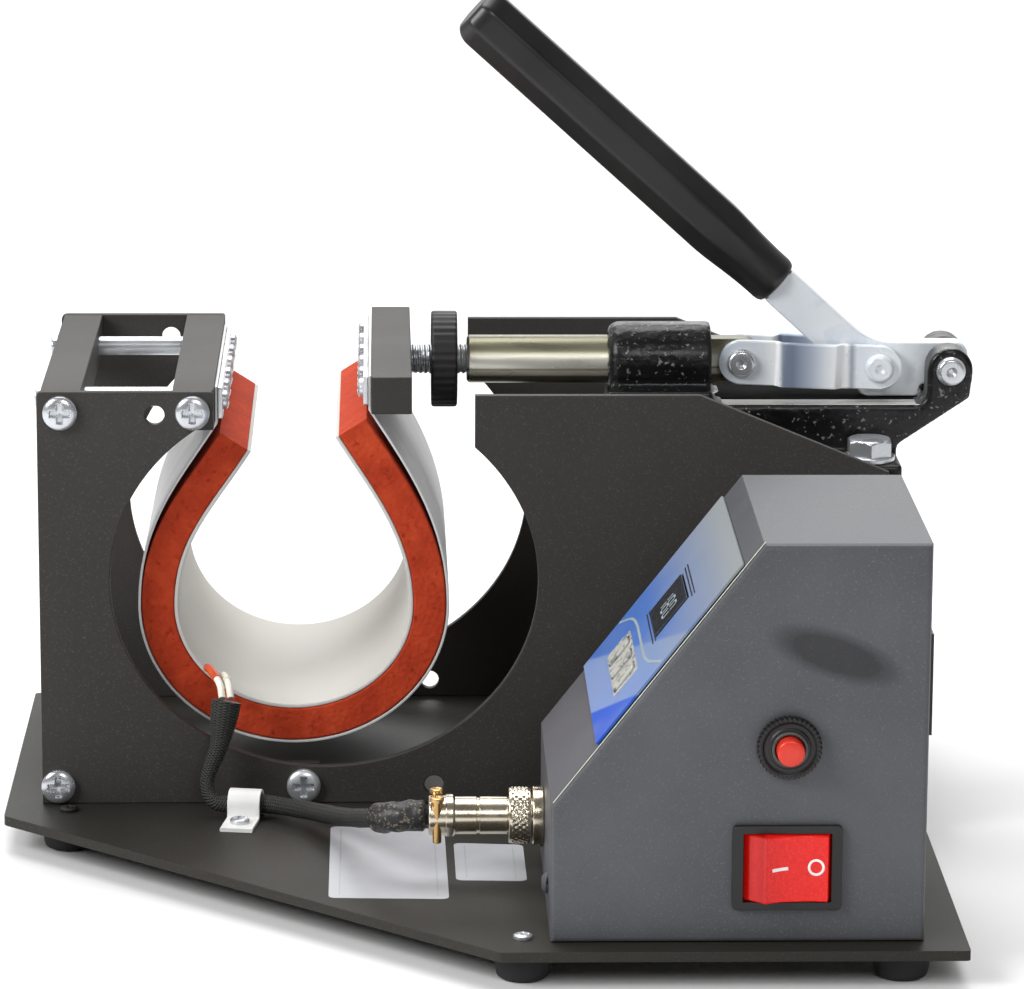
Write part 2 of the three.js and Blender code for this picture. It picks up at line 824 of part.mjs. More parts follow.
function clampStrip(side) {
  const [z0, z1] = stripHeights(side);
  const [x0, x1] = [side * stripFace(), side * (stripFace() + stripThickness)].sort((a, b) => a - b);
  const half = heaterWidth / 2;
  const strip = box(x0, x1, -half, half, z0 + stripMargin, z1 - stripMargin);
  const screws = stripScrewYs().map((y) => panScrew(stripScrewAt(side, y), side < 0 ? right : left,
    stripScrewHeadRadius, stripScrewHeadHeight, stripScrewRadius, stripScrewLength));
  return join(strip, ...screws);
}

function anchorBar() {
  return cut(crossBar(-barFace - barSize), ...rodHoles(), ...stripScrewHoles(-1));
}

function pressBlock() {
  const half = innerFace - blockSideGap;
  const block = box(barFace, blockRight, -half, half, blockBottom, blockTop);
  const pocket = bore(studRadius + fitGap, vector(blockRight - studPocketDepth, 0, clampAxisZ), right,
    studPocketDepth + cutOverrun);
  return cut(block, pocket, ...stripScrewHoles(1));
}

function adjustingWheel() {
  const shape = knurledShape(wheelRadius, wheelTeeth, wheelToothDepth);
  shape.holes.push(circleHole(0, 0, studRadius + seatGap));
  return plateAcrossX(shape, wheelLeft, wheelLeft + wheelThickness).translate(0, 0, clampAxisZ);
}

function pressStud() {
  const start = blockRight - studPocketDepth + fitGap;
  const end = plungerLeft + studEntry;
  return rod(studRadius, vector(start, 0, clampAxisZ), right, end - start);
}

// Plunger: a ground bar bored for the stud, its back end milled to a tongue for the link pin
function plunger() {
  const inside = (studRadius + fitGap) / Math.cos(Math.PI / fineSegments);
  const boreDepth = studEntry + fitGap;
  const bar = turned([
    [0, boreDepth], [inside, boreDepth], [inside, 0], [plungerRadius - plungerChamfer, 0],
    [plungerRadius, plungerChamfer], [plungerRadius, plungerCylinderLength], [0, plungerCylinderLength],
  ], vector(plungerLeft, 0, clampAxisZ), right, fineSegments);
  const shape = new THREE.Shape();
  const root = plungerLeft + plungerCylinderLength - cutOverrun;
  shape.moveTo(root, clampAxisZ - linkHalfWidth);
  shape.lineTo(pinAX, clampAxisZ - linkHalfWidth);
  shape.absarc(pinAX, clampAxisZ, linkHalfWidth, -Math.PI / 2, Math.PI / 2, false);
  shape.lineTo(root, clampAxisZ + linkHalfWidth);
  shape.closePath();
  const tongue = plateAcrossY(shape, -leverThickness / 2, leverThickness / 2);
  const hole = bore(pinRadius + fitGap, vector(pinAX, -layerOuter, clampAxisZ), back, 2 * layerOuter);
  return cut(join(bar, tongue), hole);
}

// A link: a strip with its middle joggled outward, cut to a slot-shaped outline. The rivet of its
// far end stops at its inner face, so that the lever swings free between the links.
function link(side) {
  const reach = linkLength + 2 * linkHalfWidth;
  const start = -linkHalfWidth;
  const rise = [
    [start, 0],
    [linkLength * joggleStartShare, 0],
    [linkLength * (joggleStartShare + joggleRunShare), linkJoggle],
    [linkLength * (joggleEndShare - joggleRunShare), linkJoggle],
    [linkLength * joggleEndShare, 0],
    [start + reach, 0],
  ];
  const inner = rise.map(([x, y]) => new THREE.Vector2(x, side * (layerInner + y)));
  const outer = rise.map(([x, y]) => new THREE.Vector2(x, side * (layerOuter + y)));
  const strip = plateAcrossZ(new THREE.Shape([...inner, ...outer.reverse()]), -linkHalfWidth, linkHalfWidth);
  const outline = new THREE.Shape();
  outline.absarc(0, 0, linkHalfWidth, Math.PI / 2, (3 * Math.PI) / 2, false);
  outline.absarc(linkLength, 0, linkHalfWidth, -Math.PI / 2, Math.PI / 2, false);
  outline.closePath();
  outline.holes.push(circleHole(0, 0, pinRadius + seatGap));
  const edge = layerOuter + linkJoggle + cutOverrun;
  const bent = strip.intersect(plateAcrossY(outline, -edge, edge));
  return join(bent, rivetHead(linkLength, 0, layerOuter, side));
}

// A dimpled rivet head on the outer face of a layer
function rivetHead(x, z, face, side) {
  return turned([
    [0, -cutOverrun], [pinRadius, -cutOverrun], [pinRadius, seatGap], [pinHeadRadius, seatGap],
    [pinHeadRadius, pinHeadHeight * pinRimShare], [pinHeadRadius * pinCrownShare, pinHeadHeight],
    [pinDimpleRadius, pinHeadHeight], [0, pinHeadHeight - pinDimpleDepth],
  ], vector(x, side * face, z), side < 0 ? front : back, roundSegments);
}

function throughPin(x, z, face) {
  const shank = rod(pinRadius, vector(x, -face, z), back, 2 * face, roundSegments);
  return join(shank, rivetHead(x, z, face, -1), rivetHead(x, z, face, 1));
}

// Casting outline below the ledge and round the ears
function castingShape() {
  const shape = new THREE.Shape();
  const earLeft = pivotX - earRadius;
  shape.moveTo(barrelLeft, footBottom);
  shape.lineTo(barrelLeft, clampAxisZ - plungerRadius);
  shape.lineTo(barrelRight, clampAxisZ - plungerRadius);
  shape.lineTo(barrelRight, ledgeZ + castingFillet);
  shape.quadraticCurveTo(barrelRight, ledgeZ, barrelRight + castingFillet, ledgeZ);
  shape.lineTo(earLeft - castingFillet, ledgeZ);
  shape.quadraticCurveTo(earLeft, ledgeZ, earLeft, ledgeZ + castingFillet);
  shape.absarc(pivotX, pivotZ, earRadius, Math.PI, 0, true);
  shape.lineTo(heelX, pivotZ - heelDrop);
  shape.lineTo(toeX, pivotZ - toeDrop);
  shape.lineTo(toeX, footBottom);
  shape.closePath();
  return shape;
}

function clampBody() {
  const block = plateAcrossY(castingShape(), -castingHalfWidth, castingHalfWidth);
  const barrelProfile = [[0, 0], [barrelRadius - barrelShoulder, 0]];
  for (let step = 1; step <= barrelRoundSteps; step += 1) {
    const angle = (step * Math.PI) / (2 * barrelRoundSteps);
    barrelProfile.push([
      barrelRadius - barrelShoulder * (1 - Math.sin(angle)),
      barrelShoulder * barrelRoundShare * (1 - Math.cos(angle)),
    ]);
  }
  barrelProfile.push([barrelRadius, barrelLength], [0, barrelLength]);
  const barrel = turned(barrelProfile, vector(barrelLeft, 0, clampAxisZ), right, fineSegments);
  const foot = box(barrelLeft, toeX, -footPlateWidth / 2, footPlateWidth / 2, footBottom, footTop);
  const bearing = bore(plungerRadius + fitGap, vector(barrelLeft - cutOverrun, 0, clampAxisZ), right,
    barrelLength + 2 * cutOverrun, fineSegments);
  const slot = box(
    barrelRight, heelX + cutOverrun, -layerInner, layerInner, ledgeZ, clampAxisZ + barrelRadius);
  const pinHole = bore(pinRadius + seatGap, vector(pivotX, -castingHalfWidth - cutOverrun, pivotZ), back,
    2 * (castingHalfWidth + cutOverrun));
  return cut(join(block, barrel, foot), bearing, slot, pinHole, ...clampBoltHoles());
}

function clampBoltPlaces() {
  const places = [];
  for (const x of [barrelLeft + boltEndInset, toeX - boltEndInset]) {
    for (const side of [-1, 1]) places.push([x, (side * boltSpacing) / 2]);
  }
  return places;
}

function clampBoltHoles() {
  return clampBoltPlaces().map(([x, y]) => shankHole(vector(x, y, footTop), up, boltRadius, boltLength));
}

// A hex bolt with its washer, through the casting's foot and the bracket
function clampBolt([x, y]) {
  const seat = footTop + seatGap;
  const shankLength = boltLength + washerThickness + seatGap;
  const shank = rod(boltRadius, vector(x, y, footTop - boltLength), up, shankLength);
  const washer = rod(washerRadius, vector(x, y, seat), up, washerThickness);
  const headStart = seat + washerThickness;
  const sunk = washerThickness / 2;
  const head = plateAcrossZ(hexShape(boltHeadAcross), headStart - sunk, headStart + boltHeadHeight);
  return join(shank, washer, head.translate(x, y, 0));
}

// Bracket: a channel between the side plates, with weld nuts under its roof
function clampBracket() {
  const half = innerFace - seatGap;
  const top = footBottom - seatGap;
  const roof = top - bracketThickness;
  const foot = top - bracketLegHeight;
  const shape = new THREE.Shape();
  shape.moveTo(-half, foot);
  shape.lineTo(-half, top);
  shape.lineTo(half, top);
  shape.lineTo(half, foot);
  shape.lineTo(half - bracketThickness, foot);
  shape.lineTo(half - bracketThickness, roof);
  shape.lineTo(-half + bracketThickness, roof);
  shape.lineTo(-half + bracketThickness, foot);
  shape.closePath();
  const channel = plateAcrossX(shape, barrelLeft - bracketOverhang, toeX + bracketOverhang);
  const nuts = clampBoltPlaces().map(([x, y]) =>
    plateAcrossZ(hexShape(boltHeadAcross), roof - nutHeight, roof + bracketThickness / 2).translate(x, y, 0));
  const bracket = join(channel, ...nuts);
  const screwHoles = [];
  for (const side of [-1, 1]) {
    for (const x of bracketScrewPlaces) {
      screwHoles.push(shankHole(vector(x, side * outerFace, bracketScrewZ), side < 0 ? front : back,
        plateScrewRadius, tabScrewLength));
    }
  }
  return cut(bracket, ...clampBoltHoles(), ...screwHoles);
}

// Lever plate, drawn from the pivot: belly over the ledge, arm up to the left, tang in the grip
function leverShape() {
  const armAlong = new THREE.Vector2(-Math.cos(armTilt), Math.sin(armTilt));
  const armAcross = new THREE.Vector2(armAlong.y, -armAlong.x);
  const gripAlong = new THREE.Vector2(-Math.cos(gripTilt), Math.sin(gripTilt));
  const gripAcross = new THREE.Vector2(gripAlong.y, -gripAlong.x);
  const elbow = new THREE.Vector2(-armElbowBack, armElbowRise);
  const wrist = elbow.clone().addScaledVector(armAlong, armLength);
  const tip = wrist.clone().addScaledVector(gripAlong, tangLength);
  const upper = elbow.clone().addScaledVector(armAcross, armWidth / 2);
  const meetTop = upper.clone().addScaledVector(armAlong, (leverTopRise - upper.y) / armAlong.y);
  const lower = elbow.clone().addScaledVector(armAcross, -armWidth / 2);
  const meetBelly = lower.clone().addScaledVector(armAlong, (-leverBellyDrop / 2 - lower.y) / armAlong.y);
  const corners = [
    [leverTopRise, -leverTopRise, leverTopRise * leverHeadRoundShare],
    [-bellyFront, -leverTopRise, leverFillet / 2],
    [-bellyFront, -leverBellyDrop, leverFillet * leverBellyRoundShare],
    [-bellyBack, -leverBellyDrop, leverFillet],
    [meetBelly.x, meetBelly.y, leverFillet * leverBellyRoundShare],
  ];
  const push = (point, across, offset, radius) => {
    const place = point.clone().addScaledVector(across, offset);
    corners.push([place.x, place.y, radius]);
  };
  push(wrist, armAcross, -armWidth / 2, leverFillet / 2);
  push(wrist, gripAcross, -tangWidth / 2, 0);
  push(tip, gripAcross, -tangWidth / 2, leverFillet / 2);
  push(tip, gripAcross, tangWidth / 2, leverFillet / 2);
  push(wrist, gripAcross, tangWidth / 2, 0);
  push(wrist, armAcross, armWidth / 2, leverFillet / 2);
  corners.push([meetTop.x, meetTop.y, leverFillet * leverElbowRoundShare]);
  corners.push([leverTopRise, leverTopRise, leverTopRise * leverHeadRoundShare]);
  return { shape: roundedShape(corners), wrist, gripAlong };
}

function leverPlate() {
  const plate = plateAcrossY(leverShape().shape, -leverThickness / 2, leverThickness / 2);
  const hole = bore(pinRadius + fitGap, vector(0, -leverThickness, 0), back, 2 * leverThickness);
  return cut(plate, hole);
}

// Grip: an eight-sided bar turned down at the neck, slotted for the lever's tang
function grip() {
  const { wrist, gripAlong } = leverShape();
  const neck = gripLength * gripNeckLengthShare;
  const profile = [
    [0, 0], [gripNeckRadius * gripMouthShare, 0], [gripNeckRadius, gripEndRounding * gripMouthPlaceShare],
    [gripNeckRadius * gripWaistShare, neck * gripWaistPlaceShare], [gripRadius, neck],
    [gripRadius, gripLength - gripEndRounding], [gripRadius * gripTipShare, gripLength], [0, gripLength],
  ];
  const points = profile.map(([radius, height]) => new THREE.Vector2(radius, height));
  const bar = new THREE.LatheGeometry(points, gripFacets);
  bar.rotateY(Math.PI / gripFacets);
  bar.rotateX(Math.PI / 2);
  bar.scale(1, gripFlatShare, 1);
  bar.rotateY(gripTilt - Math.PI / 2);
  const place = (solid) => solid.translate(wrist.x, 0, wrist.y);
  const slotHalf = tangWidth / 2 + fitGap;
  const slotSide = leverThickness / 2 + fitGap;
  const slot = new THREE.BoxGeometry(2 * slotHalf, 2 * slotSide, tangLength + cutOverrun + fitGap);
  slot.translate(0, 0, (tangLength + fitGap - cutOverrun) / 2);
  slot.rotateY(gripTilt - Math.PI / 2);
  const rounded = new THREE.Vector2(gripAlong.x, gripAlong.y);
  return cut(place(toSolid(bar)), place(toSolid(slot))).translate(rounded.x * fitGap, 0, rounded.y * fitGap);
}

// Outline of the control box in X and Z, `inset` inside its outer face
function boxOutline(inset) {
  const slopeLeft = inset;
  const slopeZ = boxSillHeight - inset / Math.cos(slopeAngle) + inset * Math.tan(slopeAngle);
  const roofZ = boxHeight - inset;
  const roofX = (roofZ - slopeZ) / Math.tan(slopeAngle) + slopeLeft;
  return [[slopeLeft, slopeZ], [roofX, roofZ], [boxWidth - inset, roofZ]];
}

function boxSolid(inset, floor, bevel) {
  const [sill, roof, corner] = boxOutline(inset);
  const shape = new THREE.Shape();
  shape.moveTo(sill[0], floor);
  shape.lineTo(sill[0], sill[1]);
  shape.lineTo(roof[0], roof[1]);
  shape.lineTo(corner[0], corner[1]);
  shape.lineTo(corner[0], floor);
  shape.closePath();
  return plateAcrossY(shape, inset, boxDepth - inset, bevel);
}

// Pieces on the slope are drawn flat, X up the slope from the sill, then turned onto it
function ontoSlope(solid) {
  const degrees = THREE.MathUtils.radToDeg(slopeAngle);
  return solid.rotate([0, -degrees, 0]).translate(0, 0, boxSillHeight);
}

function slopeBox(centre, length, y0, y1, z0, z1) {
  return box(centre - length / 2, centre + length / 2, y0, y1, z0, z1);
}

function keyYs() {
  return [1, 0, -1].map((place) => boxDepth / 2 + place * keySpacing);
}

function boxCover() {
  const shell = cut(boxSolid(0, 0, boxEdgeRadius), boxSolid(boxWall, -boxHeight, 0));
  const trimmed = cut(shell, box(-boxWidth, 2 * boxWidth, -boxDepth, 2 * boxDepth, -boxHeight, seatGap));
  const deep = displayDepth + cutOverrun;
  const windowSides = [boxDepth / 2 - displayWidth / 2 - seatGap, boxDepth / 2 + displayWidth / 2 + seatGap];
  const display = slopeBox(displayCentre, displayLength + 2 * seatGap, ...windowSides, -deep, cutOverrun);
  const keys = keyYs().map((y) => slopeBox(keyCentre, keySize + 2 * fitGap, y - keySize / 2 - fitGap,
    y + keySize / 2 + fitGap, -deep, cutOverrun));
  const bodyHalf = [bezelWidth / 2 - switchBodyInset, bezelHeight / 2 - switchBodyInset];
  const rockerHole = box(
    frontControlX - bodyHalf[0] - seatGap, frontControlX + bodyHalf[0] + seatGap, -cutOverrun,
    boxWall + cutOverrun, rockerZ - bodyHalf[1] - seatGap, rockerZ + bodyHalf[1] + seatGap);
  const breakerHole = bore(breakerBushRadius + seatGap, vector(frontControlX, -cutOverrun, breakerZ), back,
    boxWall + 2 * cutOverrun);
  const socketHole = bore(socketNeckRadius + seatGap, vector(-cutOverrun, plugAxisY, plugAxisZ), right,
    boxWall + 2 * cutOverrun);
  const inletHole = box(boxWidth - boxWall - cutOverrun, boxWidth + cutOverrun,
    boxDepth / 2 - inletBodyWidth / 2 - seatGap, boxDepth / 2 + inletBodyWidth / 2 + seatGap,
    inletZ - inletBodyHeight / 2 - seatGap, inletZ + inletBodyHeight / 2 + seatGap);
  const inletScrewHoles = inletScrewPlaces().map(([at, direction]) =>
    shankHole(at, direction, inletScrewRadius, boxWall + fitGap));
  return cut(trimmed, ontoSlope(display), ...keys.map(ontoSlope), rockerHole, breakerHole, socketHole,
    inletHole, ...inletScrewHoles).add(boxScrews());
}

function boxScrewPlaces() {
  const places = [];
  for (const y of [boxScrewInset, boxDepth - boxScrewInset]) {
    places.push([vector(0, y, boxScrewZ), left], [vector(boxWidth, y, boxScrewZ), right]);
  }
  return places;
}

function boxScrews() {
  return join(...boxScrewPlaces().map(([at, direction]) => panScrew(at, direction, boxScrewHeadRadius,
    boxScrewHeadHeight, boxScrewRadius, boxScrewLength)));
}

// Tray: the box's floor, with side flanges that take the cover's screws
function boxTray() {
  const outer = boxWall + seatGap;
  const innerWall = outer + boxWall;
  const floorTop = seatGap + boxWall;
  const shape = new THREE.Shape();
  shape.moveTo(outer, seatGap);
  shape.lineTo(boxWidth - outer, seatGap);
  shape.lineTo(boxWidth - outer, trayFlangeHeight);
  shape.lineTo(boxWidth - innerWall, trayFlangeHeight);
  shape.lineTo(boxWidth - innerWall, floorTop);
  shape.lineTo(innerWall, floorTop);
  shape.lineTo(innerWall, trayFlangeHeight);
  shape.lineTo(outer, trayFlangeHeight);
  shape.closePath();
  const tray = plateAcrossY(shape, outer, boxDepth - outer);
  const socketRelief = bore(socketTailRadius + fitGap, vector(0, plugAxisY, plugAxisZ), right,
    innerWall + cutOverrun);
  const [, [footX, footY]] = footPlaces();
  const footRelief = bore(footScrewHeadRadius + fitGap,
    vector(footX - boxLeft, footY + boxFront, -cutOverrun), up, floorTop + 2 * cutOverrun);
  return cut(tray, socketRelief, footRelief,
    ...boxScrewPlaces().map(([at, direction]) => shankHole(at, direction, boxScrewRadius, boxScrewLength)));
}

function rockerBezel() {
  const half = [bezelWidth / 2, bezelHeight / 2];
  const frame = rectangle(-half[0], half[0], -half[1], half[1], bezelCornerRadius);
  const rim = plateAcrossY(frame, -bezelThickness - seatGap, -seatGap);
  const body = box(-half[0] + switchBodyInset, half[0] - switchBodyInset, -bezelThickness, switchBodyDepth,
    -half[1] + switchBodyInset, half[1] - switchBodyInset);
  const pocketHalf = rockerRadius + fitGap;
  const pocketSide = rockerHeight / 2 + fitGap;
  const pocket = box(
    -pocketHalf, pocketHalf, -bezelThickness - cutOverrun, rockerPocketDepth, -pocketSide, pocketSide);
  return cut(join(rim, body), pocket).translate(frontControlX, 0, rockerZ);
}

// Rocker: two faces that dip to the middle, with round ends about the pivot, tilted to "off"
function rocker() {
  const shape = new THREE.Shape();
  const endRise = (rockerRise + rockerRadius * Math.sin(rockerTilt)) / rockerRadius;
  const topAngle = Math.asin(endRise);
  shape.moveTo(0, rockerRise);
  shape.lineTo(-rockerRadius * Math.cos(topAngle), rockerRadius * Math.sin(topAngle));
  shape.absarc(0, 0, rockerRadius, Math.PI - topAngle, Math.PI - rockerSkirtAngle, false);
  shape.lineTo(-rockerKeelHalfWidth, -rockerKeelDepth);
  shape.lineTo(rockerKeelHalfWidth, -rockerKeelDepth);
  shape.absarc(0, 0, rockerRadius, rockerSkirtAngle, topAngle, false);
  shape.closePath();
  const half = rockerHeight / 2;
  const degrees = THREE.MathUtils.radToDeg(rockerTilt);
  return plateAcrossZ(shape, -half, half).rotate([0, 0, 180 + degrees]);
}

function breakerBody() {
  const nose = breakerBushRise + breakerNutThickness;
  const inside = (breakerButtonRadius + fitGap) / Math.cos(Math.PI / roundSegments);
  const pocket = breakerButtonDepth + breakerTravel + fitGap;
  return turned([
    [0, -breakerBodyDepth], [breakerBodyRadius, -breakerBodyDepth], [breakerBodyRadius, -boxWall - seatGap],
    [breakerBushRadius, -boxWall - seatGap], [breakerBushRadius, nose], [inside, nose], [inside, -pocket],
    [0, -pocket],
  ], vector(frontControlX, 0, breakerZ), front, roundSegments);
}

function breakerNut() {
  const shape = knurledShape(breakerNutRadius, breakerNutTeeth, breakerNutToothDepth);
  shape.holes.push(circleHole(0, 0, breakerBushRadius + seatGap));
  return plateAcrossY(shape, -breakerNutThickness - seatGap, -seatGap).translate(frontControlX, 0, breakerZ);
}

function breakerButton() {
  const rise = breakerBushRise + breakerNutThickness + breakerButtonRise;
  return turned([
    [0, -breakerButtonDepth], [breakerButtonRadius, -breakerButtonDepth],
    [breakerButtonRadius, rise - breakerButtonRounding],
    [breakerButtonRadius * breakerButtonCrownShare, rise], [0, rise],
  ], vector(frontControlX, 0, breakerZ), front, roundSegments);
}

function inletScrewPlaces() {
  return [-1, 1].map((side) =>
    [vector(boxWidth, boxDepth / 2, inletZ + (side * inletScrewSpacing) / 2), right]);
}

function mainsInlet() {
  const centreY = boxDepth / 2;
  const face = boxWidth + seatGap;
  const flange = plateAcrossX(
    rectangle(centreY - inletFlangeWidth / 2, centreY + inletFlangeWidth / 2, inletZ - inletFlangeHeight / 2,
      inletZ + inletFlangeHeight / 2, inletCornerRadius), face, face + inletFlangeThickness);
  const body = box(boxWidth - inletDepth, face + inletRise, centreY - inletBodyWidth / 2,
    centreY + inletBodyWidth / 2, inletZ - inletBodyHeight / 2, inletZ + inletBodyHeight / 2);
  const cavityHalf = [inletBodyWidth / 2 - inletCavityMargin, inletBodyHeight / 2 - inletCavityMargin];
  const cavityFloor = face + inletRise - inletCavityDepth;
  const mouth = rectangle(centreY - cavityHalf[0], centreY + cavityHalf[0], inletZ - cavityHalf[1],
    inletZ + cavityHalf[1], inletCavityMargin);
  const cavity = plateAcrossX(mouth, cavityFloor, face + inletRise + cutOverrun);
  const pins = [-1, 0, 1].map((place) => {
    const z = inletZ + place * inletPinSpacing;
    const y = centreY + (place === 0 ? -1 : 1) * inletPinStagger;
    return box(cavityFloor - cutOverrun, cavityFloor + inletPinLength, y - inletPinWidth / 2,
      y + inletPinWidth / 2, z - inletPinHeight / 2, z + inletPinHeight / 2);
  });
  const screws = inletScrewPlaces().map(([at, direction]) => panScrew(
    at.clone().addScaledVector(direction, inletFlangeThickness + seatGap), direction, inletScrewHeadRadius,
    inletScrewHeadHeight, inletScrewRadius, inletFlangeThickness + boxWall));
  return join(cut(join(flange, body), cavity), ...pins, ...screws);
}

function displayPanel() {
  const y0 = panelSideMargin + boxEdgeRadius;
  const shape = rectangle(panelStart, panelStart + panelLength, y0, boxDepth - y0);
  const windowHalf = displayWidth / 2 + seatGap;
  const lengthHalf = displayLength / 2 + seatGap;
  shape.holes.push(rectangle(displayCentre - lengthHalf, displayCentre + lengthHalf,
    boxDepth / 2 - windowHalf, boxDepth / 2 + windowHalf));
  for (const y of keyYs()) {
    const half = keySize / 2 + fitGap;
    shape.holes.push(rectangle(keyCentre - half, keyCentre + half, y - half, y + half, keyCornerRadius));
  }
  return ontoSlope(plateAcrossZ(shape, fitGap, fitGap + panelThickness));
}

function displayModule() {
  const half = displayWidth / 2 - fitGap;
  return ontoSlope(slopeBox(displayCentre, displayLength - 2 * fitGap, boxDepth / 2 - half,
    boxDepth / 2 + half, -displayDepth, fitGap + panelThickness + displayRise));
}

function panelKey(y) {
  const half = keySize / 2;
  const shape = rectangle(keyCentre - half, keyCentre + half, y - half, y + half, keyCornerRadius);
  return ontoSlope(plateAcrossZ(shape, -keyDepth, fitGap + panelThickness + keyRise));
}

// The transformer stands behind the rocker switch, and the board behind the transformer
const transformerFront = boxWall + seatGap + switchBodyDepth + transformerMargin / 2;
const coilInset = (transformerHeight * (1 - transformerLaminationShare)) / 2;
const transformerBack = transformerFront + transformerDepth * transformerLaminationShare + coilInset / 2;

// Board on its standoffs, with the blocks that stand on it
function controllerBoard() {
  const floorTop = 2 * seatGap + boxWall;
  const x0 = boardLeftMargin;
  const x1 = boxWidth - boardRightMargin;
  const y0 = transformerBack + boardFrontMargin;
  const y1 = boxDepth - boxWall - boardBackMargin;
  const z0 = floorTop + standoffHeight;
  const board = box(x0, x1, y0, y1, z0, z0 + boardThickness);
  const inset = standoffInset;
  const reach = standoffHeight + boardThickness / 2;
  const standoffs = [];
  for (const x of [x0 + inset, x1 - inset]) {
    for (const y of [y0 + inset, y1 - inset]) {
      standoffs.push(rod(standoffRadius, vector(x, y, floorTop), up, reach, smallSegments));
    }
  }
  const relayX = x0 + relayInset;
  const relay = box(relayX, relayX + relayWidth, y1 - inset - relayDepth, y1 - inset,
    z0, z0 + boardThickness + relayHeight);
  const middleY = (y0 + y1) / 2;
  const terminals = box(x1 - inset - terminalsDepth, x1 - inset, middleY - terminalsWidth / 2,
    middleY + terminalsWidth / 2, z0, z0 + boardThickness + relayHeight / 2);
  return join(board, ...standoffs, relay, terminals);
}

function transformer() {
  const floorTop = 2 * seatGap + boxWall;
  const x1 = boxWidth - 2 * boxWall - seatGap - transformerMargin;
  const y0 = transformerFront;
  const core = box(x1 - transformerWidth, x1, y0, y0 + transformerDepth * transformerLaminationShare,
    floorTop, floorTop + transformerHeight);
  const coil = box(x1 - transformerWidth + coilInset, x1 - coilInset, y0 - coilInset / 2,
    y0 + transformerDepth * transformerLaminationShare + coilInset / 2, floorTop + coilInset,
    floorTop + transformerHeight - coilInset);
  return join(core, coil);
}

function powerSink() {
  const floorTop = 2 * seatGap + boxWall;
  const x0 = 2 * boxWall + seatGap + sinkMargin;
  const y0 = boxWall + seatGap + sinkMargin / 2;
  const base = box(x0, x0 + sinkWidth, y0, y0 + sinkDepth, floorTop, floorTop + sinkBase);
  const pitch = (sinkWidth - sinkFinThickness) / (sinkFinCount - 1);
  const fins = Array.from({ length: sinkFinCount }, (_, index) => {
    const x = x0 + index * pitch;
    return box(x, x + sinkFinThickness, y0, y0 + sinkDepth, floorTop, floorTop + sinkBase + sinkFinHeight);
  });
  return join(base, ...fins);
}

function panelSocket() {
  const flangeLeft = -socketFlangeThickness - seatGap;
  const tailLeft = boxWall + seatGap;
  return turned([
    [0, flangeLeft - socketNeckLength], [socketNeckRadius, flangeLeft - socketNeckLength],
    [socketNeckRadius, flangeLeft], [socketFlangeRadius, flangeLeft], [socketFlangeRadius, -seatGap],
    [socketNeckRadius, -seatGap], [socketNeckRadius, tailLeft], [socketTailRadius, tailLeft],
    [socketTailRadius, boxWall + socketTailLength], [0, boxWall + socketTailLength],
  ], vector(0, plugAxisY, plugAxisZ), right);
}

// The plug's pieces lie to the left of the socket's flange
const plugRingRight = -socketFlangeThickness - seatGap - fitGap;
const plugRingLeft = plugRingRight - plugRingLength;
const plugBarrelLeft = plugRingLeft - plugBarrelLength;
const saddleLeft = plugBarrelLeft - saddleLength;

function plugRing() {
  const shape = knurledShape(plugRingRadius, plugRingTeeth, plugRingToothDepth);
  shape.holes.push(circleHole(0, 0, socketNeckRadius + fitGap));
  return plateAcrossX(shape, plugRingLeft, plugRingRight).translate(0, plugAxisY, plugAxisZ);
}

function plugBody() {
  const neckEnd = plugRingRight - plugRingLength - fitGap;
  const barrelEnd = Math.min(neckEnd, -socketFlangeThickness - socketNeckLength - fitGap);
  const collarRight = plugBarrelLeft + plugCollarLength;
  const barrel = turned([
    [0, plugBarrelLeft], [plugCollarRadius, plugBarrelLeft], [plugCollarRadius, collarRight],
    [plugBarrelRadius, collarRight], [plugBarrelRadius, neckEnd], [socketNeckRadius, neckEnd],
    [socketNeckRadius, barrelEnd], [0, barrelEnd],
  ], vector(0, plugAxisY, plugAxisZ), right);
  const saddle = cut(
    rod(saddleRadius, vector(saddleLeft, plugAxisY, plugAxisZ), right, saddleLength + cutOverrun),
    bore(sleeveRadius + saddleBoreGap, vector(saddleLeft - cutOverrun, plugAxisY, plugAxisZ), right,
      saddleLength + cutOverrun));
  const screws = [-1, 1].map((side) => rod(saddleScrewRadius,
    vector(saddleLeft + saddleLength / 2, plugAxisY + side * (saddleRadius - saddleScrewRadius),
      plugAxisZ - saddleScrewLength / 2), up, saddleScrewLength, smallSegments));
  return join(barrel, saddle, ...screws);
}

// The lead's route, chosen by hand: out of the sponge, down to the clip, along the base to the plug
function leadRoute() {
  const plug = vector(boxLeft + saddleLeft + saddleLength - fitGap, -boxFront + plugAxisY, plugAxisZ);
  return new THREE.CatmullRomCurve3([
    vector(-20.5, -68.5, 34),
    vector(-22.5, -71, 22),
    vector(-26.5, -75.5, 9.5),
    vector(-24, -78, 4.8),
    vector(-19, -78.5, 4.3),
    vector(-10, -78.5, 4.3),
    vector(2, -86, 4.8),
    vector(14, -106, 8.5),
    vector(22, -128, 14.5),
    vector(plug.x - 16, plug.y + 1.5, plug.z - 1),
    vector(plug.x - 8, plug.y, plug.z),
    plug,
  ]);
}

function tube(path, radius, sides, steps) {
  const section = new THREE.Shape();
  for (let side = 0; side < sides; side += 1) {
    const angle = (side * 2 * Math.PI) / sides;
    if (side === 0) section.moveTo(radius, 0);
    else section.lineTo(radius * Math.cos(angle), radius * Math.sin(angle));
  }
  section.closePath();
  return toSolid(new THREE.ExtrudeGeometry(section, { steps, extrudePath: path, bevelEnabled: false }));
}

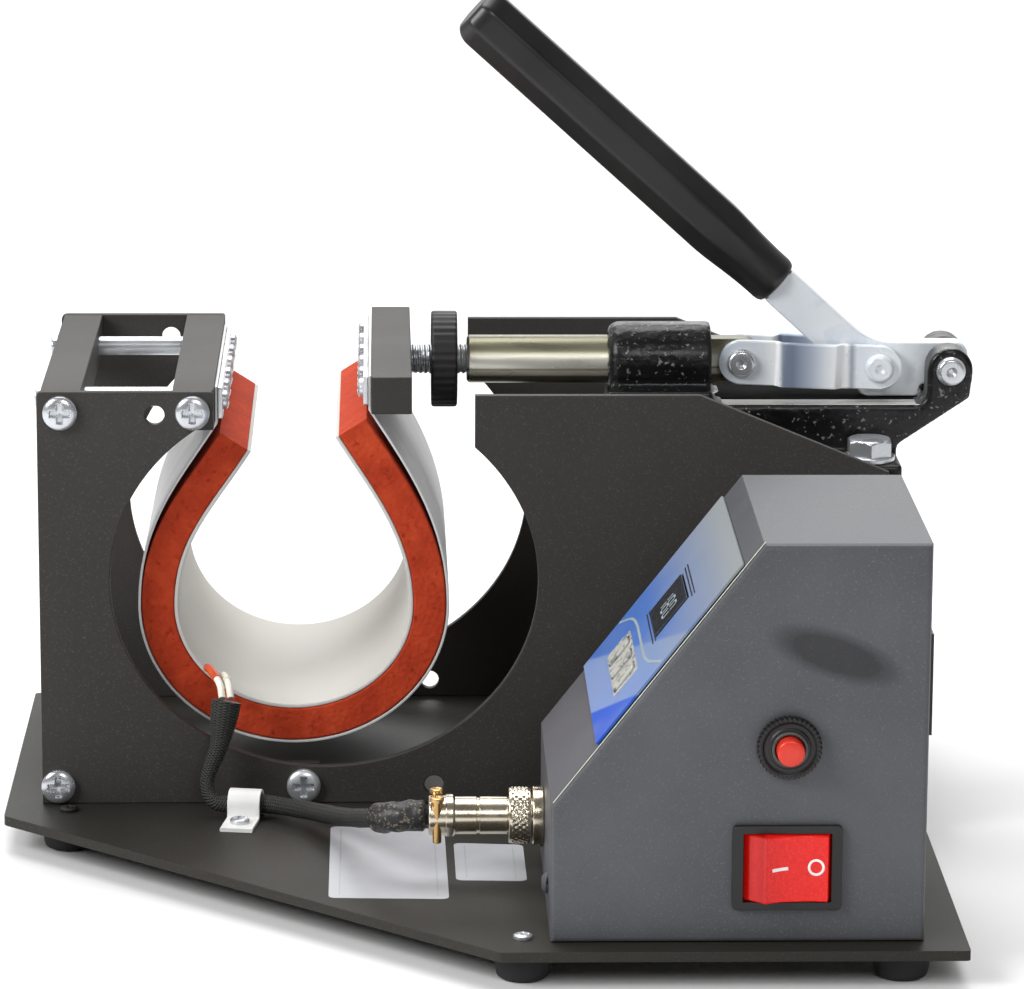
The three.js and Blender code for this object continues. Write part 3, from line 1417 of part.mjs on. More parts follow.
// Braided sleeve, with the wider shrink sleeve just before the plug
function leadSleeve() {
  const route = leadRoute();
  const total = route.getLength();
  const end = 1 - (saddleLength + fitGap) / total;
  const start = end - cuffLength / total;
  const points = Array.from({ length: cuffSpans + 1 }, (_, index) =>
    route.getPointAt(start + ((end - start) * index) / cuffSpans));
  const path = new THREE.CatmullRomCurve3(points);
  const sleeve = tube(route, sleeveRadius, sleeveSides, sleeveSteps);
  return join(sleeve, tube(path, cuffRadius, sleeveSides, cuffSteps));
}

// One of the two wires that leave the sponge's front face for the sleeve's mouth
function leadWire(side) {
  const face = -heaterWidth / 2 - fitGap;
  const mouth = leadRoute().getPointAt(0);
  return tube(new THREE.CatmullRomCurve3([
    vector(mouth.x - 4 + side * 2.4, face, mouth.z + 4.5 - side * 1.4),
    vector(mouth.x - 3 + side * 2, face - 6, mouth.z + 5.5 - side),
    vector(mouth.x - 0.6 + side * 1.3, mouth.y + 3, mouth.z + 4),
    vector(mouth.x + side * wireRadius * 1.2, mouth.y, mouth.z + 3 * fitGap),
  ]), wireRadius, wireSides, wireSteps);
}

function clipCentre() {
  return vector(clipX, clipY, sleeveRadius + clipBoreGap + clipThickness);
}

function clipScrewAt() {
  const centre = clipCentre();
  return vector(centre.x, centre.y - sleeveRadius - clipFlat / 2 - clipThickness, seatGap + clipThickness);
}

function clipScrewHole() {
  return shankHole(clipScrewAt(), up, clipScrewRadius, baseThickness + clipThickness);
}

// P-clip: a strap bent over the sleeve, with a flat foot in front of it
function leadClip() {
  const centre = clipCentre();
  const outer = sleeveRadius + clipBoreGap + clipThickness;
  const footFront = centre.y - outer - clipFlat;
  const footTopZ = seatGap + clipThickness;
  const shape = new THREE.Shape();
  shape.moveTo(footFront, seatGap);
  shape.lineTo(centre.y - outer + clipThickness, seatGap);
  shape.lineTo(centre.y - outer + clipThickness, centre.z);
  shape.absarc(centre.y, centre.z, outer - clipThickness, Math.PI, 0, true);
  shape.lineTo(centre.y + outer - clipThickness, seatGap);
  shape.lineTo(centre.y + outer, seatGap);
  shape.lineTo(centre.y + outer, centre.z);
  shape.absarc(centre.y, centre.z, outer, 0, Math.PI, false);
  shape.lineTo(centre.y - outer, footTopZ);
  shape.lineTo(footFront, footTopZ);
  shape.closePath();
  const strap = plateAcrossX(shape, centre.x - clipWidth / 2, centre.x + clipWidth / 2);
  const screw = panScrew(clipScrewAt(), up, clipScrewHeadRadius, clipScrewHeadHeight, clipScrewRadius,
    baseThickness + clipThickness);
  return join(strap, screw);
}

// Frame: base, side plates, bars and what fastens them
const machine = new THREE.Group();
addPiece(machine, "base_plate", basePlate(), powderBlack());
footPlaces().forEach((place, index) => {
  addPiece(machine, `rubber_foot_${index + 1}`, rubberFoot(place), paint(0x161616, 0.9, 0));
});
addPiece(machine, "front_side_plate", sidePlate(-1), powderBlack());
addPiece(machine, "rear_side_plate", sidePlate(1), powderBlack());
addPiece(machine, "left_cross_bar", cut(crossBar(-plateLeft + barInset), ...rodHoles()), powderBlack());
addPiece(machine, "anchor_bar", anchorBar(), powderBlack());
addPiece(machine, "front_tie_rod", tieRod(-1), zinc());
addPiece(machine, "rear_tie_rod", tieRod(1), zinc());

// Heater ring and the strips that hold its ends
addPiece(machine, "heater_band", heaterBand(), paint(0xb8b9bb, 0.5, 0.6));
addPiece(machine, "sponge_pad", heaterPad(-spongeThickness, 0), paint(0xb5381f, 0.8, 0));
const matFace = -spongeThickness - seatGap;
addPiece(machine, "heating_mat", heaterPad(matFace - matThickness, matFace), paint(0xc9c8c6, 0.6, 0));
addPiece(machine, "anchor_clamp_strip", clampStrip(-1), zinc());
addPiece(machine, "press_clamp_strip", clampStrip(1), zinc());

// Press block, adjusting screw and plunger
addPiece(machine, "press_block", pressBlock(), powderBlack());
addPiece(machine, "adjusting_wheel", adjustingWheel(), paint(0x1c1c1d, 0.5, 0.1));
addPiece(machine, "press_stud", pressStud(), zinc());
addPiece(machine, "plunger", plunger(), paint(0xd2d3d5, 0.18, 1));

// Clamp casting with its bracket and bolts
addPiece(machine, "clamp_body", clampBody(), paint(0x101011, 0.22, 0.2));
addPiece(machine, "clamp_bracket", clampBracket(), powderBlack());
clampBoltPlaces().forEach((place, index) => {
  addPiece(machine, `clamp_bolt_${index + 1}`, clampBolt(place), zinc());
});
addPiece(machine, "lever_pin", throughPin(pivotX, pivotZ, castingHalfWidth), zinc());

// Links, drawn flat from their front pin and turned to meet the lever
const links = new THREE.Group();
links.position.set(pinAX, 0, clampAxisZ);
links.rotation.y = -linkAngle;
machine.add(links);
addPiece(links, "front_link", link(-1), zinc());
addPiece(links, "rear_link", link(1), zinc());
addPiece(links, "link_pin", throughPin(0, 0, layerOuter), zinc());

// Lever, drawn from its pivot
const lever = new THREE.Group();
lever.position.set(pivotX, 0, pivotZ);
machine.add(lever);
addPiece(lever, "lever_plate", leverPlate(), zinc());
addPiece(lever, "lever_grip", grip(), paint(0x141415, 0.45, 0));

// Control box, drawn from its front left corner on the base
const control = new THREE.Group();
control.position.set(boxLeft, -boxFront, 0);
machine.add(control);
addPiece(control, "box_cover", boxCover(), powderBlack());
addPiece(control, "box_tray", boxTray(), powderBlack());
addPiece(control, "display_panel", displayPanel(), paint(0x5f8fd9, 0.4, 0));
addPiece(control, "display_module", displayModule(), paint(0x1d1f22, 0.15, 0));
keyYs().forEach((y, index) => {
  addPiece(control, `panel_key_${index + 1}`, panelKey(y), paint(0xd8dce4, 0.5, 0));
});
addPiece(control, "rocker_bezel", rockerBezel(), paint(0x121212, 0.4, 0));
const rockerMesh = addPiece(control, "power_rocker", rocker(), paint(0xd81f1a, 0.3, 0));
rockerMesh.position.set(frontControlX, rockerPivotDepth - bezelThickness, rockerZ);
addPiece(control, "breaker_body", breakerBody(), paint(0x3a3a3c, 0.5, 0.3));
addPiece(control, "breaker_nut", breakerNut(), paint(0x141414, 0.5, 0));
addPiece(control, "breaker_button", breakerButton(), paint(0xd3271c, 0.4, 0));
addPiece(control, "mains_inlet", mainsInlet(), paint(0x131313, 0.5, 0));
addPiece(control, "controller_board", controllerBoard(), paint(0x1f6b3a, 0.6, 0));
addPiece(control, "transformer", transformer(), paint(0x6b5a3c, 0.6, 0.3));
addPiece(control, "power_sink", powerSink(), paint(0xa9abad, 0.4, 1));
addPiece(control, "panel_socket", panelSocket(), nickel());
addPiece(control, "plug_body", plugBody(), nickel());
addPiece(control, "plug_ring", plugRing(), nickel());

// Heater lead from the sponge to the plug
addPiece(machine, "upper_wire", leadWire(-1), paint(0xe8e2d6, 0.6, 0));
addPiece(machine, "lower_wire", leadWire(1), paint(0xe8e2d6, 0.6, 0));
addPiece(machine, "lead_sleeve", leadSleeve(), paint(0x1a1a1a, 0.85, 0));
addPiece(machine, "lead_clip", leadClip(), paint(0xdfe0e0, 0.5, 0));

// The part stands on its feet, with its origin under the middle of its outline
machine.updateMatrixWorld(true);
const bounds = new THREE.Box3().setFromObject(machine, true);
const centre = bounds.getCenter(new THREE.Vector3());
machine.position.set(-centre.x, -centre.y, -bounds.min.z);

export default machine;
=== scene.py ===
# Mug heat press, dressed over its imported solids. Sizes here are in millimetres and are turned
# into the frame's metres by toFrame: X = 0 is the mug's axis, Y = 0 lies midway between the
# side plates and Z = 0 is the top of the base plate.
import math
import bmesh
import bpy
import numpy as np
from mathutils import Matrix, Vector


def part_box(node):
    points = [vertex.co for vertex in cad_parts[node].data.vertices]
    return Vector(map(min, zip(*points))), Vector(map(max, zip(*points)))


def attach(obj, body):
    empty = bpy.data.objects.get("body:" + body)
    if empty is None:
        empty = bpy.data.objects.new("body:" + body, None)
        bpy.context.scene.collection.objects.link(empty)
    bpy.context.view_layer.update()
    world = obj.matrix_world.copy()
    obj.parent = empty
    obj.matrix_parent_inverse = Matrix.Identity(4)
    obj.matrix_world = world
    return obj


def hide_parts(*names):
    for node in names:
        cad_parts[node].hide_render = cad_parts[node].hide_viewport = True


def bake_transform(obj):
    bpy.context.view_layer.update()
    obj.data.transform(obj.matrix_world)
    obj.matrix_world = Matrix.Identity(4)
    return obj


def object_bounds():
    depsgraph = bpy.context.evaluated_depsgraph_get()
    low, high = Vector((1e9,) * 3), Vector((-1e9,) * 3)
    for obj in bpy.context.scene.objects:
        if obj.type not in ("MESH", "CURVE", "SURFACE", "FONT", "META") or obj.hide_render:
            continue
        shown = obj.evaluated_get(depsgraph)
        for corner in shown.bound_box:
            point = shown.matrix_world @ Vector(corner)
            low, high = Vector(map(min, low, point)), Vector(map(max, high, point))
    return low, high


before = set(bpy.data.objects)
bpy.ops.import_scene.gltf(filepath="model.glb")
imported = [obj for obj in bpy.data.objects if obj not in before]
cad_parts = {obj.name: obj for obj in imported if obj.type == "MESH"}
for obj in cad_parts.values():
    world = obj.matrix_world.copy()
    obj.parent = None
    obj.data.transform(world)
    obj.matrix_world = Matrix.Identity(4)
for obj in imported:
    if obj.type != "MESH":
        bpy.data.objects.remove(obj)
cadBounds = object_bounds()
scene = bpy.context.scene
print("heat press: frame loaded")

# Places taken from the frame
millimetre = 0.001
mergeDistance = 2e-6  # metres
baseThickness = 3.0
padLow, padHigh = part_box("sponge_pad")
origin = np.array([
    (padLow[0] + padHigh[0]) / 2,
    (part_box("front_side_plate")[0][1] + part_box("rear_side_plate")[1][1]) / 2,
    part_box("base_plate")[0][2] + baseThickness * millimetre,
])


def toFrame(points):
    return np.asarray(points, float) * millimetre + origin


def stand(name, data, basis, place):
    # An object at a place, its own axes the three rows of the basis.
    holder = bpy.data.objects.new(name, data)
    rows = [(*axes, at) for axes, at in zip(np.array(basis).T, place)]
    holder.matrix_world = Matrix([*rows, (0, 0, 0, 1)])
    scene.collection.objects.link(holder)
    return holder


# Camera at the photograph's angle
camera = {
    "place": (-0.03623, -1.44465, 0.44479),  # metres, in the frame
    "pitch": 13.01,   # degrees below the horizon
    "yaw": 1.61,      # degrees to the right of +Y
    "roll": 0.3,
    "lens": 172.05,
    "sensor": 36.0,
    "farthest": 30.0,
}


def addCamera(look):
    pitch, yaw, roll = (math.radians(look[key]) for key in ("pitch", "yaw", "roll"))
    ahead = np.array([math.sin(yaw) * math.cos(pitch), math.cos(yaw) * math.cos(pitch), -math.sin(pitch)])
    level = np.array([math.cos(yaw), -math.sin(yaw), 0.0])
    above = np.cross(level, ahead)
    right = level * math.cos(roll) + above * math.sin(roll)
    upward = above * math.cos(roll) - level * math.sin(roll)
    data = bpy.data.cameras.new("photoCamera")
    data.lens, data.sensor_width, data.clip_end = look["lens"], look["sensor"], look["farthest"]
    scene.camera = stand("photoCamera", data, (right, upward, -ahead), look["place"])


addCamera(camera)

# Finishes
socketNames = {
    "metallic": "Metallic", "specular": "Specular IOR Level", "coat": "Coat Weight",
    "coatRough": "Coat Roughness", "clear": "Transmission Weight", "ior": "IOR",
    "glow": "Emission Strength", "glowColour": "Emission Color", "flesh": "Subsurface Weight",
    "fleshReach": "Subsurface Radius",
}


def tone(red, green, blue):
    # A colour as seen on screen, 0 to 255, turned linear.
    shares = np.array([red, green, blue]) / 255.0
    linear = np.where(shares <= 0.04045, shares / 12.92, ((shares + 0.055) / 1.055) ** 2.4)
    return (*[float(value) for value in linear], 1.0)


def toned(*stops):
    # Stops of (place, red, green, blue) for a ramp.
    return [(place, tone(*colour)) for place, *colour in stops]


def addNode(tree, kind, **values):
    node = tree.nodes.new(kind)
    for key, value in values.items():
        setattr(node, key, value)
    return node


def joinNodes(tree, source, output, target, entry):
    tree.links.new(source.outputs[output], target.inputs[entry])


def spread(tree, source, output, low, high, fromLow=0.0, fromHigh=1.0):
    # The source's value carried from one span to another.
    node = addNode(tree, "ShaderNodeMapRange")
    for key, value in (("From Min", fromLow), ("From Max", fromHigh), ("To Min", low), ("To Max", high)):
        node.inputs[key].default_value = value
    joinNodes(tree, source, output, node, "Value")
    return node


def ramp(tree, source, output, stops):
    node = addNode(tree, "ShaderNodeValToRGB")
    band = node.color_ramp
    band.elements[0].position, band.elements[0].color = stops[0]
    band.elements[1].position, band.elements[1].color = stops[-1]
    for position, colour in stops[1:-1]:
        band.elements.new(position).color = colour
    joinNodes(tree, source, output, node, "Fac")
    return node


def pattern(scale, detail=3.0, **more):
    return {"scale": scale, "detail": detail, **more}


def bump(strength, height, scale, detail=3.0, **more):
    return {"strength": strength, "height": height, **pattern(scale, detail, **more)}


def texture(tree, coordinates, look):
    # One pattern node; its coordinates may be stretched by a Mapping node.
    kind = look.get("kind", "noise")
    if "stretch" in look:
        mapping = addNode(tree, "ShaderNodeMapping")
        mapping.inputs["Scale"].default_value = look["stretch"]
        tree.links.new(coordinates, mapping.inputs["Vector"])
        coordinates = mapping.outputs["Vector"]
    if kind == "cells":
        node = addNode(tree, "ShaderNodeTexVoronoi")
        output = "Distance"
    elif kind == "waves":
        node = addNode(tree, "ShaderNodeTexWave", bands_direction=look["direction"])
        node.inputs["Distortion"].default_value = 0.0
        output = "Fac"
    else:
        node = addNode(tree, "ShaderNodeTexNoise")
        node.inputs["Detail"].default_value = look["detail"]
        node.inputs["Roughness"].default_value = look.get("grain", 0.55)
        output = "Fac"
    node.inputs["Scale"].default_value = look["scale"]
    tree.links.new(coordinates, node.inputs["Vector"])
    return node, output


def newMaterial(name):
    material = bpy.data.materials.new(name)
    material.use_nodes = True
    tree = material.node_tree
    return material, tree, tree.nodes["Principled BSDF"], addNode(tree, "ShaderNodeTexCoord")


def finish(name, colours, main, rough, bumps=(), marks=None, stops=(0.3, 0.7), space="Object", **sockets):
    # A material: its main pattern sets colour and sheen, marks lie over it, and bumps follow in turn.
    material, tree, shader, place = newMaterial(name)
    coordinates = place.outputs[space]
    source, output = texture(tree, coordinates, main)
    colour = ramp(tree, source, output, [(stop, tone(*shade)) for stop, shade in zip(stops, colours)])
    colourOutput = colour.outputs["Color"]
    if marks:
        marksPattern, start, end, shade = marks
        source, output = texture(tree, coordinates, marksPattern)
        mask = ramp(tree, source, output, [(start, (0, 0, 0, 1)), (end, (1, 1, 1, 1))])
        mix = addNode(tree, "ShaderNodeMix", data_type="RGBA")
        mix.inputs["B"].default_value = tone(*shade)
        tree.links.new(mask.outputs["Color"], mix.inputs["Factor"])
        tree.links.new(colourOutput, mix.inputs["A"])
        colourOutput = mix.outputs["Result"]
    tree.links.new(colourOutput, shader.inputs["Base Color"])
    source, output = texture(tree, coordinates, main)
    joinNodes(tree, spread(tree, source, output, *rough, 0.3, 0.7), "Result", shader, "Roughness")
    last = None
    for look in bumps:
        source, output = texture(tree, coordinates, look)
        node = addNode(tree, "ShaderNodeBump")
        node.inputs["Strength"].default_value = look["strength"]
        node.inputs["Distance"].default_value = look["height"] * millimetre
        joinNodes(tree, source, output, node, "Height")
        if last is not None:
            joinNodes(tree, last, "Normal", node, "Normal")
        last = node
    if last is not None:
        joinNodes(tree, last, "Normal", shader, "Normal")
    for key, value in sockets.items():
        shader.inputs[socketNames[key]].default_value = value
    return material


def multiplied(material):
    # A second colour multiplied into the material's own: the tree, its coordinates and the mix node.
    tree = material.node_tree
    base = tree.nodes["Principled BSDF"].inputs["Base Color"]
    place = addNode(tree, "ShaderNodeTexCoord")
    mix = addNode(tree, "ShaderNodeMix", data_type="RGBA", blend_type="MULTIPLY")
    tree.links.new(base.links[0].from_socket, mix.inputs["A"])
    tree.links.new(mix.outputs["Result"], base)
    return tree, place, mix


def banded(material, axis, middle, half, bands):
    # Colour by the place along one axis, from the band's low end to its high end.
    tree, place, mix = multiplied(material)
    parts = addNode(tree, "ShaderNodeSeparateXYZ")
    joinNodes(tree, place, "Object", parts, "Vector")
    start = float(origin["XYZ".index(axis)])
    low, high = (start + end * millimetre for end in (middle - half, middle + half))
    share = spread(tree, parts, axis, 0.0, 1.0, low, high)
    mix.inputs["Factor"].default_value = 1.0
    joinNodes(tree, ramp(tree, share, "Result", toned(*bands)), "Color", mix, "B")


powder = finish(
    "powderBlack", [(52, 50, 49), (62, 60, 58)], pattern(9.0, 4.0), (0.5, 0.64),
    [bump(0.3, 0.1, 1500.0, 2.0), bump(0.14, 0.2, 260.0, 2.0)],
    (pattern(1900.0, 1.0), 0.6, 0.78, (76, 74, 71)), specular=0.2)
basePowder = finish(
    "basePowder", [(34, 33, 29), (48, 46, 41)], pattern(6.0, 5.0), (0.48, 0.62),
    [bump(0.3, 0.1, 1500.0, 2.0), bump(0.14, 0.2, 220.0, 2.0)],
    (pattern(1700.0, 1.0), 0.62, 0.8, (72, 70, 64)), specular=0.28)
boxPowder = finish(
    "boxPowder", [(60, 62, 66), (88, 89, 94)], pattern(11.0, 6.0, grain=0.6), (0.44, 0.56),
    [bump(0.3, 0.12, 1200.0, 2.0), bump(0.12, 0.3, 90.0, 2.0)],
    (pattern(1900.0, 1.0), 0.6, 0.78, (97, 97, 99)), (0.28, 0.72), specular=0.45)
rubber = finish("footRubber", [(20, 20, 21), (34, 34, 35)], pattern(60.0), (0.7, 0.88),
                [bump(0.3, 0.15, 700.0)])
zinc = finish(
    "zincPlate", [(196, 199, 204), (222, 225, 229)], pattern(45.0, 4.0), (0.22, 0.38),
    [bump(0.1, 0.08, 500.0)], (pattern(120.0, 5.0), 0.6, 0.76, (184, 188, 192)), metallic=0.8)
leverZinc = finish(
    "leverZinc", [(222, 229, 236), (242, 246, 250)], pattern(30.0, 5.0), (0.34, 0.46),
    [bump(0.14, 0.08, 420.0)], (pattern(150.0, 5.0), 0.5, 0.72, (214, 222, 232)), metallic=0.2)
linkZinc = finish(
    "linkZinc", [(238, 242, 245), (252, 253, 254)], pattern(40.0, 5.0), (0.22, 0.36),
    [bump(0.1, 0.06, 420.0)], metallic=0.12)
ledgeSteel = finish(
    "ledgeSteel", [(172, 170, 166), (220, 218, 213)], pattern(30.0, stretch=(1.0, 12.0, 1.0)),
    (0.22, 0.36), [bump(0.1, 0.05, 80.0, stretch=(1.0, 10.0, 1.0))], metallic=0.6)
ground = finish(
    "groundSteel", [(232, 230, 222), (252, 250, 244)], pattern(14.0, 1.0, stretch=(3.0, 20.0, 20.0)),
    (0.24, 0.36), [bump(0.03, 0.03, 900.0, 1.0, stretch=(1.0, 0.1, 0.1))], metallic=0.6)
bandSteel = finish(
    "bandSteel", [(196, 196, 196), (216, 216, 216)], pattern(16.0, stretch=(1.0, 8.0, 1.0)), (0.42, 0.56),
    [bump(0.12, 0.06, 60.0, stretch=(1.0, 20.0, 1.0))], metallic=0.35)
sponge = finish(
    "siliconeSponge", [(162, 50, 24), (180, 60, 31), (200, 78, 44)], pattern(95.0, 6.0, grain=0.65),
    (0.78, 0.92), [bump(0.5, 0.35, 620.0, kind="cells"), bump(0.35, 0.6, 120.0, 4.0)],
    (pattern(520.0, 3.0), 0.58, 0.74, (146, 42, 20)), (0.28, 0.5, 0.74), specular=0.2)
matCloth = finish(
    "siliconeMat", [(184, 181, 174), (202, 199, 191)], pattern(20.0, 3.0), (0.5, 0.62),
    [bump(0.18, 0.08, 300.0, kind="waves", direction="Y"), bump(0.12, 0.5, 30.0)],
    (pattern(260.0, kind="waves", direction="Y"), 0.6, 0.95, (204, 202, 199)))
casting = finish(
    "castingBlack", [(10, 10, 11), (20, 20, 21)], pattern(60.0, 4.0), (0.24, 0.44),
    [bump(0.7, 0.6, 210.0, 3.0), bump(0.4, 0.35, 420.0, kind="cells")],
    (pattern(700.0, 2.0), 0.64, 0.7, (112, 114, 116)), specular=0.3, coat=0.15, coatRough=0.2)
castRough = finish(
    "castRough", [(10, 10, 11), (22, 22, 23)], pattern(90.0, 4.0), (0.82, 0.95),
    [bump(0.5, 0.4, 260.0, 3.0)], specular=0.05)
gripRubber = finish(
    "gripRubber", [(22, 22, 23), (34, 34, 35)], pattern(30.0, 4.0), (0.28, 0.4),
    [bump(0.15, 0.08, 900.0), bump(0.1, 0.5, 40.0)])
blackPlastic = finish(
    "blackPlastic", [(17, 17, 18), (27, 27, 28)], pattern(80.0), (0.34, 0.5), [bump(0.2, 0.08, 1100.0)])
wheelBlack = finish(
    "wheelBlack", [(15, 15, 16), (27, 26, 26)], pattern(70.0), (0.42, 0.6), [bump(0.3, 0.12, 500.0)],
    metallic=0.2)
redPlastic = finish(
    "redPlastic", [(206, 42, 26), (226, 62, 40)], pattern(120.0), (0.24, 0.36), [bump(0.06, 0.1, 300.0)],
    flesh=0.15, fleshReach=(0.004, 0.001, 0.0008))
# The cap's faint red emission is painted glow, standing in for light through the translucent red; the cap is
# no lamp.
rockerRed = finish(
    "rockerRed", [(244, 62, 50), (230, 34, 28), (216, 24, 22)], pattern(1150.0, kind="cells"),
    (0.12, 0.22), [bump(0.1, 0.08, 1150.0, kind="cells")], stops=(0.0, 0.35, 1.0), clear=0.25, ior=1.49,
    glowColour=tone(255, 30, 20), glow=0.14, specular=0.3, coat=0.08, coatRough=0.1)
bushGrey = finish(
    "bushGrey", [(66, 66, 68), (96, 95, 94)], pattern(160.0), (0.35, 0.5), [bump(0.12, 0.08, 600.0)],
    metallic=0.6)
nickel = finish(
    "nickelPlate", [(196, 184, 160), (226, 217, 198)], pattern(60.0, 4.0), (0.14, 0.28),
    [bump(0.08, 0.06, 400.0)], (pattern(160.0, 5.0), 0.64, 0.72, (150, 134, 106)), metallic=1.0)
brass = finish(
    "brassScrew", [(186, 148, 92), (212, 178, 122)], pattern(90.0), (0.2, 0.34),
    [bump(0.08, 0.06, 500.0)], metallic=1.0)
eightBands = {"scale": 5.0265, "kind": "waves", "direction": "DIAGONAL"}  # eight bands round the sleeve
braid = finish(
    "braidedSleeve", [(6, 6, 6), (58, 59, 55)], pattern(**eightBands), (0.55, 0.8),
    [bump(0.6, 0.4, **eightBands), bump(0.6, 0.4, stretch=(1.0, -1.0, 1.0), **eightBands)],
    stops=(0.15, 0.9), space="UV")
shrink = finish(
    "shrinkSleeve", [(18, 18, 19), (34, 34, 36)], pattern(90.0, 4.0), (0.4, 0.6),
    [bump(0.6, 0.9, 130.0, 4.0)], (pattern(1100.0, 2.0), 0.56, 0.68, (122, 112, 94)))
whiteWire = finish(
    "whiteWire", [(226, 220, 206), (240, 236, 226)], pattern(120.0), (0.45, 0.6),
    [bump(0.1, 0.06, 600.0)])
orangeSleeve = finish(
    "orangeSleeve", [(190, 62, 30), (222, 96, 48)], pattern(200.0, 5.0), (0.35, 0.5),
    [bump(0.2, 0.1, 500.0)])
nylon = finish(
    "whiteNylon", [(222, 222, 220), (238, 238, 236)], pattern(60.0), (0.36, 0.5),
    [bump(0.08, 0.08, 500.0)], flesh=0.1, fleshReach=(0.003, 0.003, 0.003))
sticker = finish(
    "blankSticker", [(172, 174, 179), (188, 190, 194)], pattern(40.0, 5.0), (0.35, 0.5),
    [bump(0.1, 0.15, 120.0)])
greySticker = finish(
    "greySticker", [(150, 152, 153), (172, 174, 174)], pattern(50.0, 5.0), (0.3, 0.45),
    [bump(0.1, 0.15, 120.0)])
windowDark = finish(
    "windowDark", [(30, 33, 38), (52, 55, 60)], pattern(60.0, 3.0), (0.08, 0.16), [bump(0.03, 0.1, 40.0)],
    coat=0.6, coatRough=0.05)
inkTones = {
    "inkBlack": [(24, 26, 34), (40, 42, 52)], "inkWhite": [(238, 236, 232), (250, 249, 246)],
    "inkCream": [(212, 214, 196), (228, 228, 208)], "inkGrey": [(132, 144, 150), (150, 162, 168)],
}
inkBlack, inkWhite, inkCream, inkGrey = (
    finish(name, tones, pattern(300.0), (0.35, 0.45)) for name, tones in inkTones.items())
keyPale = finish(
    "keyPale", [(158, 158, 152), (176, 176, 168)], pattern(90.0), (0.36, 0.48), [bump(0.1, 0.1, 420.0)],
    (pattern(420.0, 2.0), 0.54, 0.58, (116, 117, 116)))
boardGreen = finish(
    "boardGreen", [(24, 84, 50), (34, 112, 66)], pattern(300.0, kind="cells"), (0.35, 0.5),
    [bump(0.2, 0.15, 300.0, kind="cells")])
laminations = finish(
    "laminations", [(84, 72, 52), (122, 106, 78)], pattern(320.0, kind="waves", direction="Z"),
    (0.45, 0.6), [bump(0.3, 0.1, 320.0, kind="waves", direction="Z")], metallic=0.5)
sinkMetal = finish(
    "sinkAluminium", [(166, 168, 170), (192, 194, 196)], pattern(40.0, stretch=(1.0, 12.0, 1.0)),
    (0.3, 0.42), [bump(0.1, 0.05, 60.0, stretch=(1.0, 16.0, 1.0))], metallic=1.0)
print("heat press: finishes made")

# Surfaces as grids


def gridFaces(rows, columns, closed=False):
    # Quads between neighbouring rows and columns; a closed grid joins its last column to its first.
    row = np.arange(rows - 1)[:, None]
    column = np.arange(columns if closed else columns - 1)[None, :]
    beside = (column + 1) % columns
    quads = np.stack([row * columns + column, row * columns + beside,
                      (row + 1) * columns + beside, (row + 1) * columns + column], axis=-1)
    return quads.reshape(-1, 4)


def tubeShell(points):
    # A closed tube with flat ends, from points in rows that each run once round.
    rows, count = points.shape[:2]
    caps = [list(range(count))[::-1], [(rows - 1) * count + index for index in range(count)]]
    return {"points": points.reshape(-1, 3), "faces": gridFaces(rows, count, True).tolist() + caps}


def tubeCorners(rows, columns, lengthEach):
    # Surface coordinates of a tube's corners: across is counted once round, along by row; its caps are 0.
    row = np.arange(rows - 1)[:, None] + np.zeros((1, columns))
    column = np.arange(columns)[None, :] + np.zeros((rows - 1, 1))
    pairs = [np.stack([(column + c) * (1.0 / columns), (row + r) * lengthEach], axis=-1)
             for r, c in ((0, 0), (0, 1), (1, 1), (1, 0))]
    return np.concatenate([np.stack(pairs, axis=2).reshape(-1, 2), np.zeros((2 * columns, 2))])


def unit(vectors):
    return vectors / np.linalg.norm(vectors, axis=-1, keepdims=True)


def turnedBasis(axis):
    # Three directions at right angles, the third along the axis.
    third = unit(np.array(axis, float))
    first = unit(np.cross((0.0, 0.0, 1.0) if abs(third[2]) < 0.9 else (0.0, 1.0, 0.0), third))
    return np.array([first, np.cross(third, first), third])


def spinMatrix(degrees):
    # Points in rows, multiplied by this, are turned from X towards Y.
    cos, sin = math.cos(math.radians(degrees)), math.sin(math.radians(degrees))
    return np.array([[cos, sin], [-sin, cos]])


def placed(shell, at, axis=(0, 0, 1)):
    # A shell drawn along Z from the origin, stood at a point along an axis.
    return {**shell, "points": np.asarray(at, float) + shell["points"] @ turnedBasis(axis)}


def roundedLine(corners, closed=True, steps=6):
    # Corners of (x, y, radius) joined by lines, each corner a curve whose tangents are its edges.
    corners = np.array([(*corner, 0.0)[:3] for corner in corners], float)
    places, radii = corners[:, :2], corners[:, 2]
    before, after = np.roll(places, 1, axis=0), np.roll(places, -1, axis=0)
    if not closed:
        before[0], after[-1] = places[0], places[-1]
    line = []
    for place, radius, prior, following in zip(places, radii, before, after):
        toPrior, toNext = prior - place, following - place
        lengths = np.linalg.norm(toPrior), np.linalg.norm(toNext)
        reach = min(radius, lengths[0] * 0.48, lengths[1] * 0.48)
        if reach < 1e-6:
            line.append(place[None, :])
            continue
        enter, leave = place + toPrior / lengths[0] * reach, place + toNext / lengths[1] * reach
        share = np.linspace(0, 1, steps + 1)[:, None]
        line.append((1 - share) ** 2 * enter + 2 * share * (1 - share) * place + share ** 2 * leave)
    return np.concatenate(line)


def rectangleLine(x0, x1, y0, y1, radius=0.0, steps=4):
    return roundedLine([(x0, y0, radius), (x1, y0, radius), (x1, y1, radius), (x0, y1, radius)],
                       steps=steps)


def lathe(profile, segments=48, ripple=None):
    # A profile of (radius, height) turned round Z: x = r cos a, y = r sin a, z = h. Ripple changes r.
    profile = np.asarray(profile, float)
    angle = np.arange(segments) * 2 * np.pi / segments
    radius, height = profile[:, :1] + 0 * angle, profile[:, 1:2] + 0 * angle
    if ripple is not None:
        radius = ripple(radius, angle[None, :], height)
    points = np.stack([radius * np.cos(angle), radius * np.sin(angle), height], axis=-1)
    return {"points": points.reshape(-1, 3), "faces": gridFaces(len(profile), segments, True)}


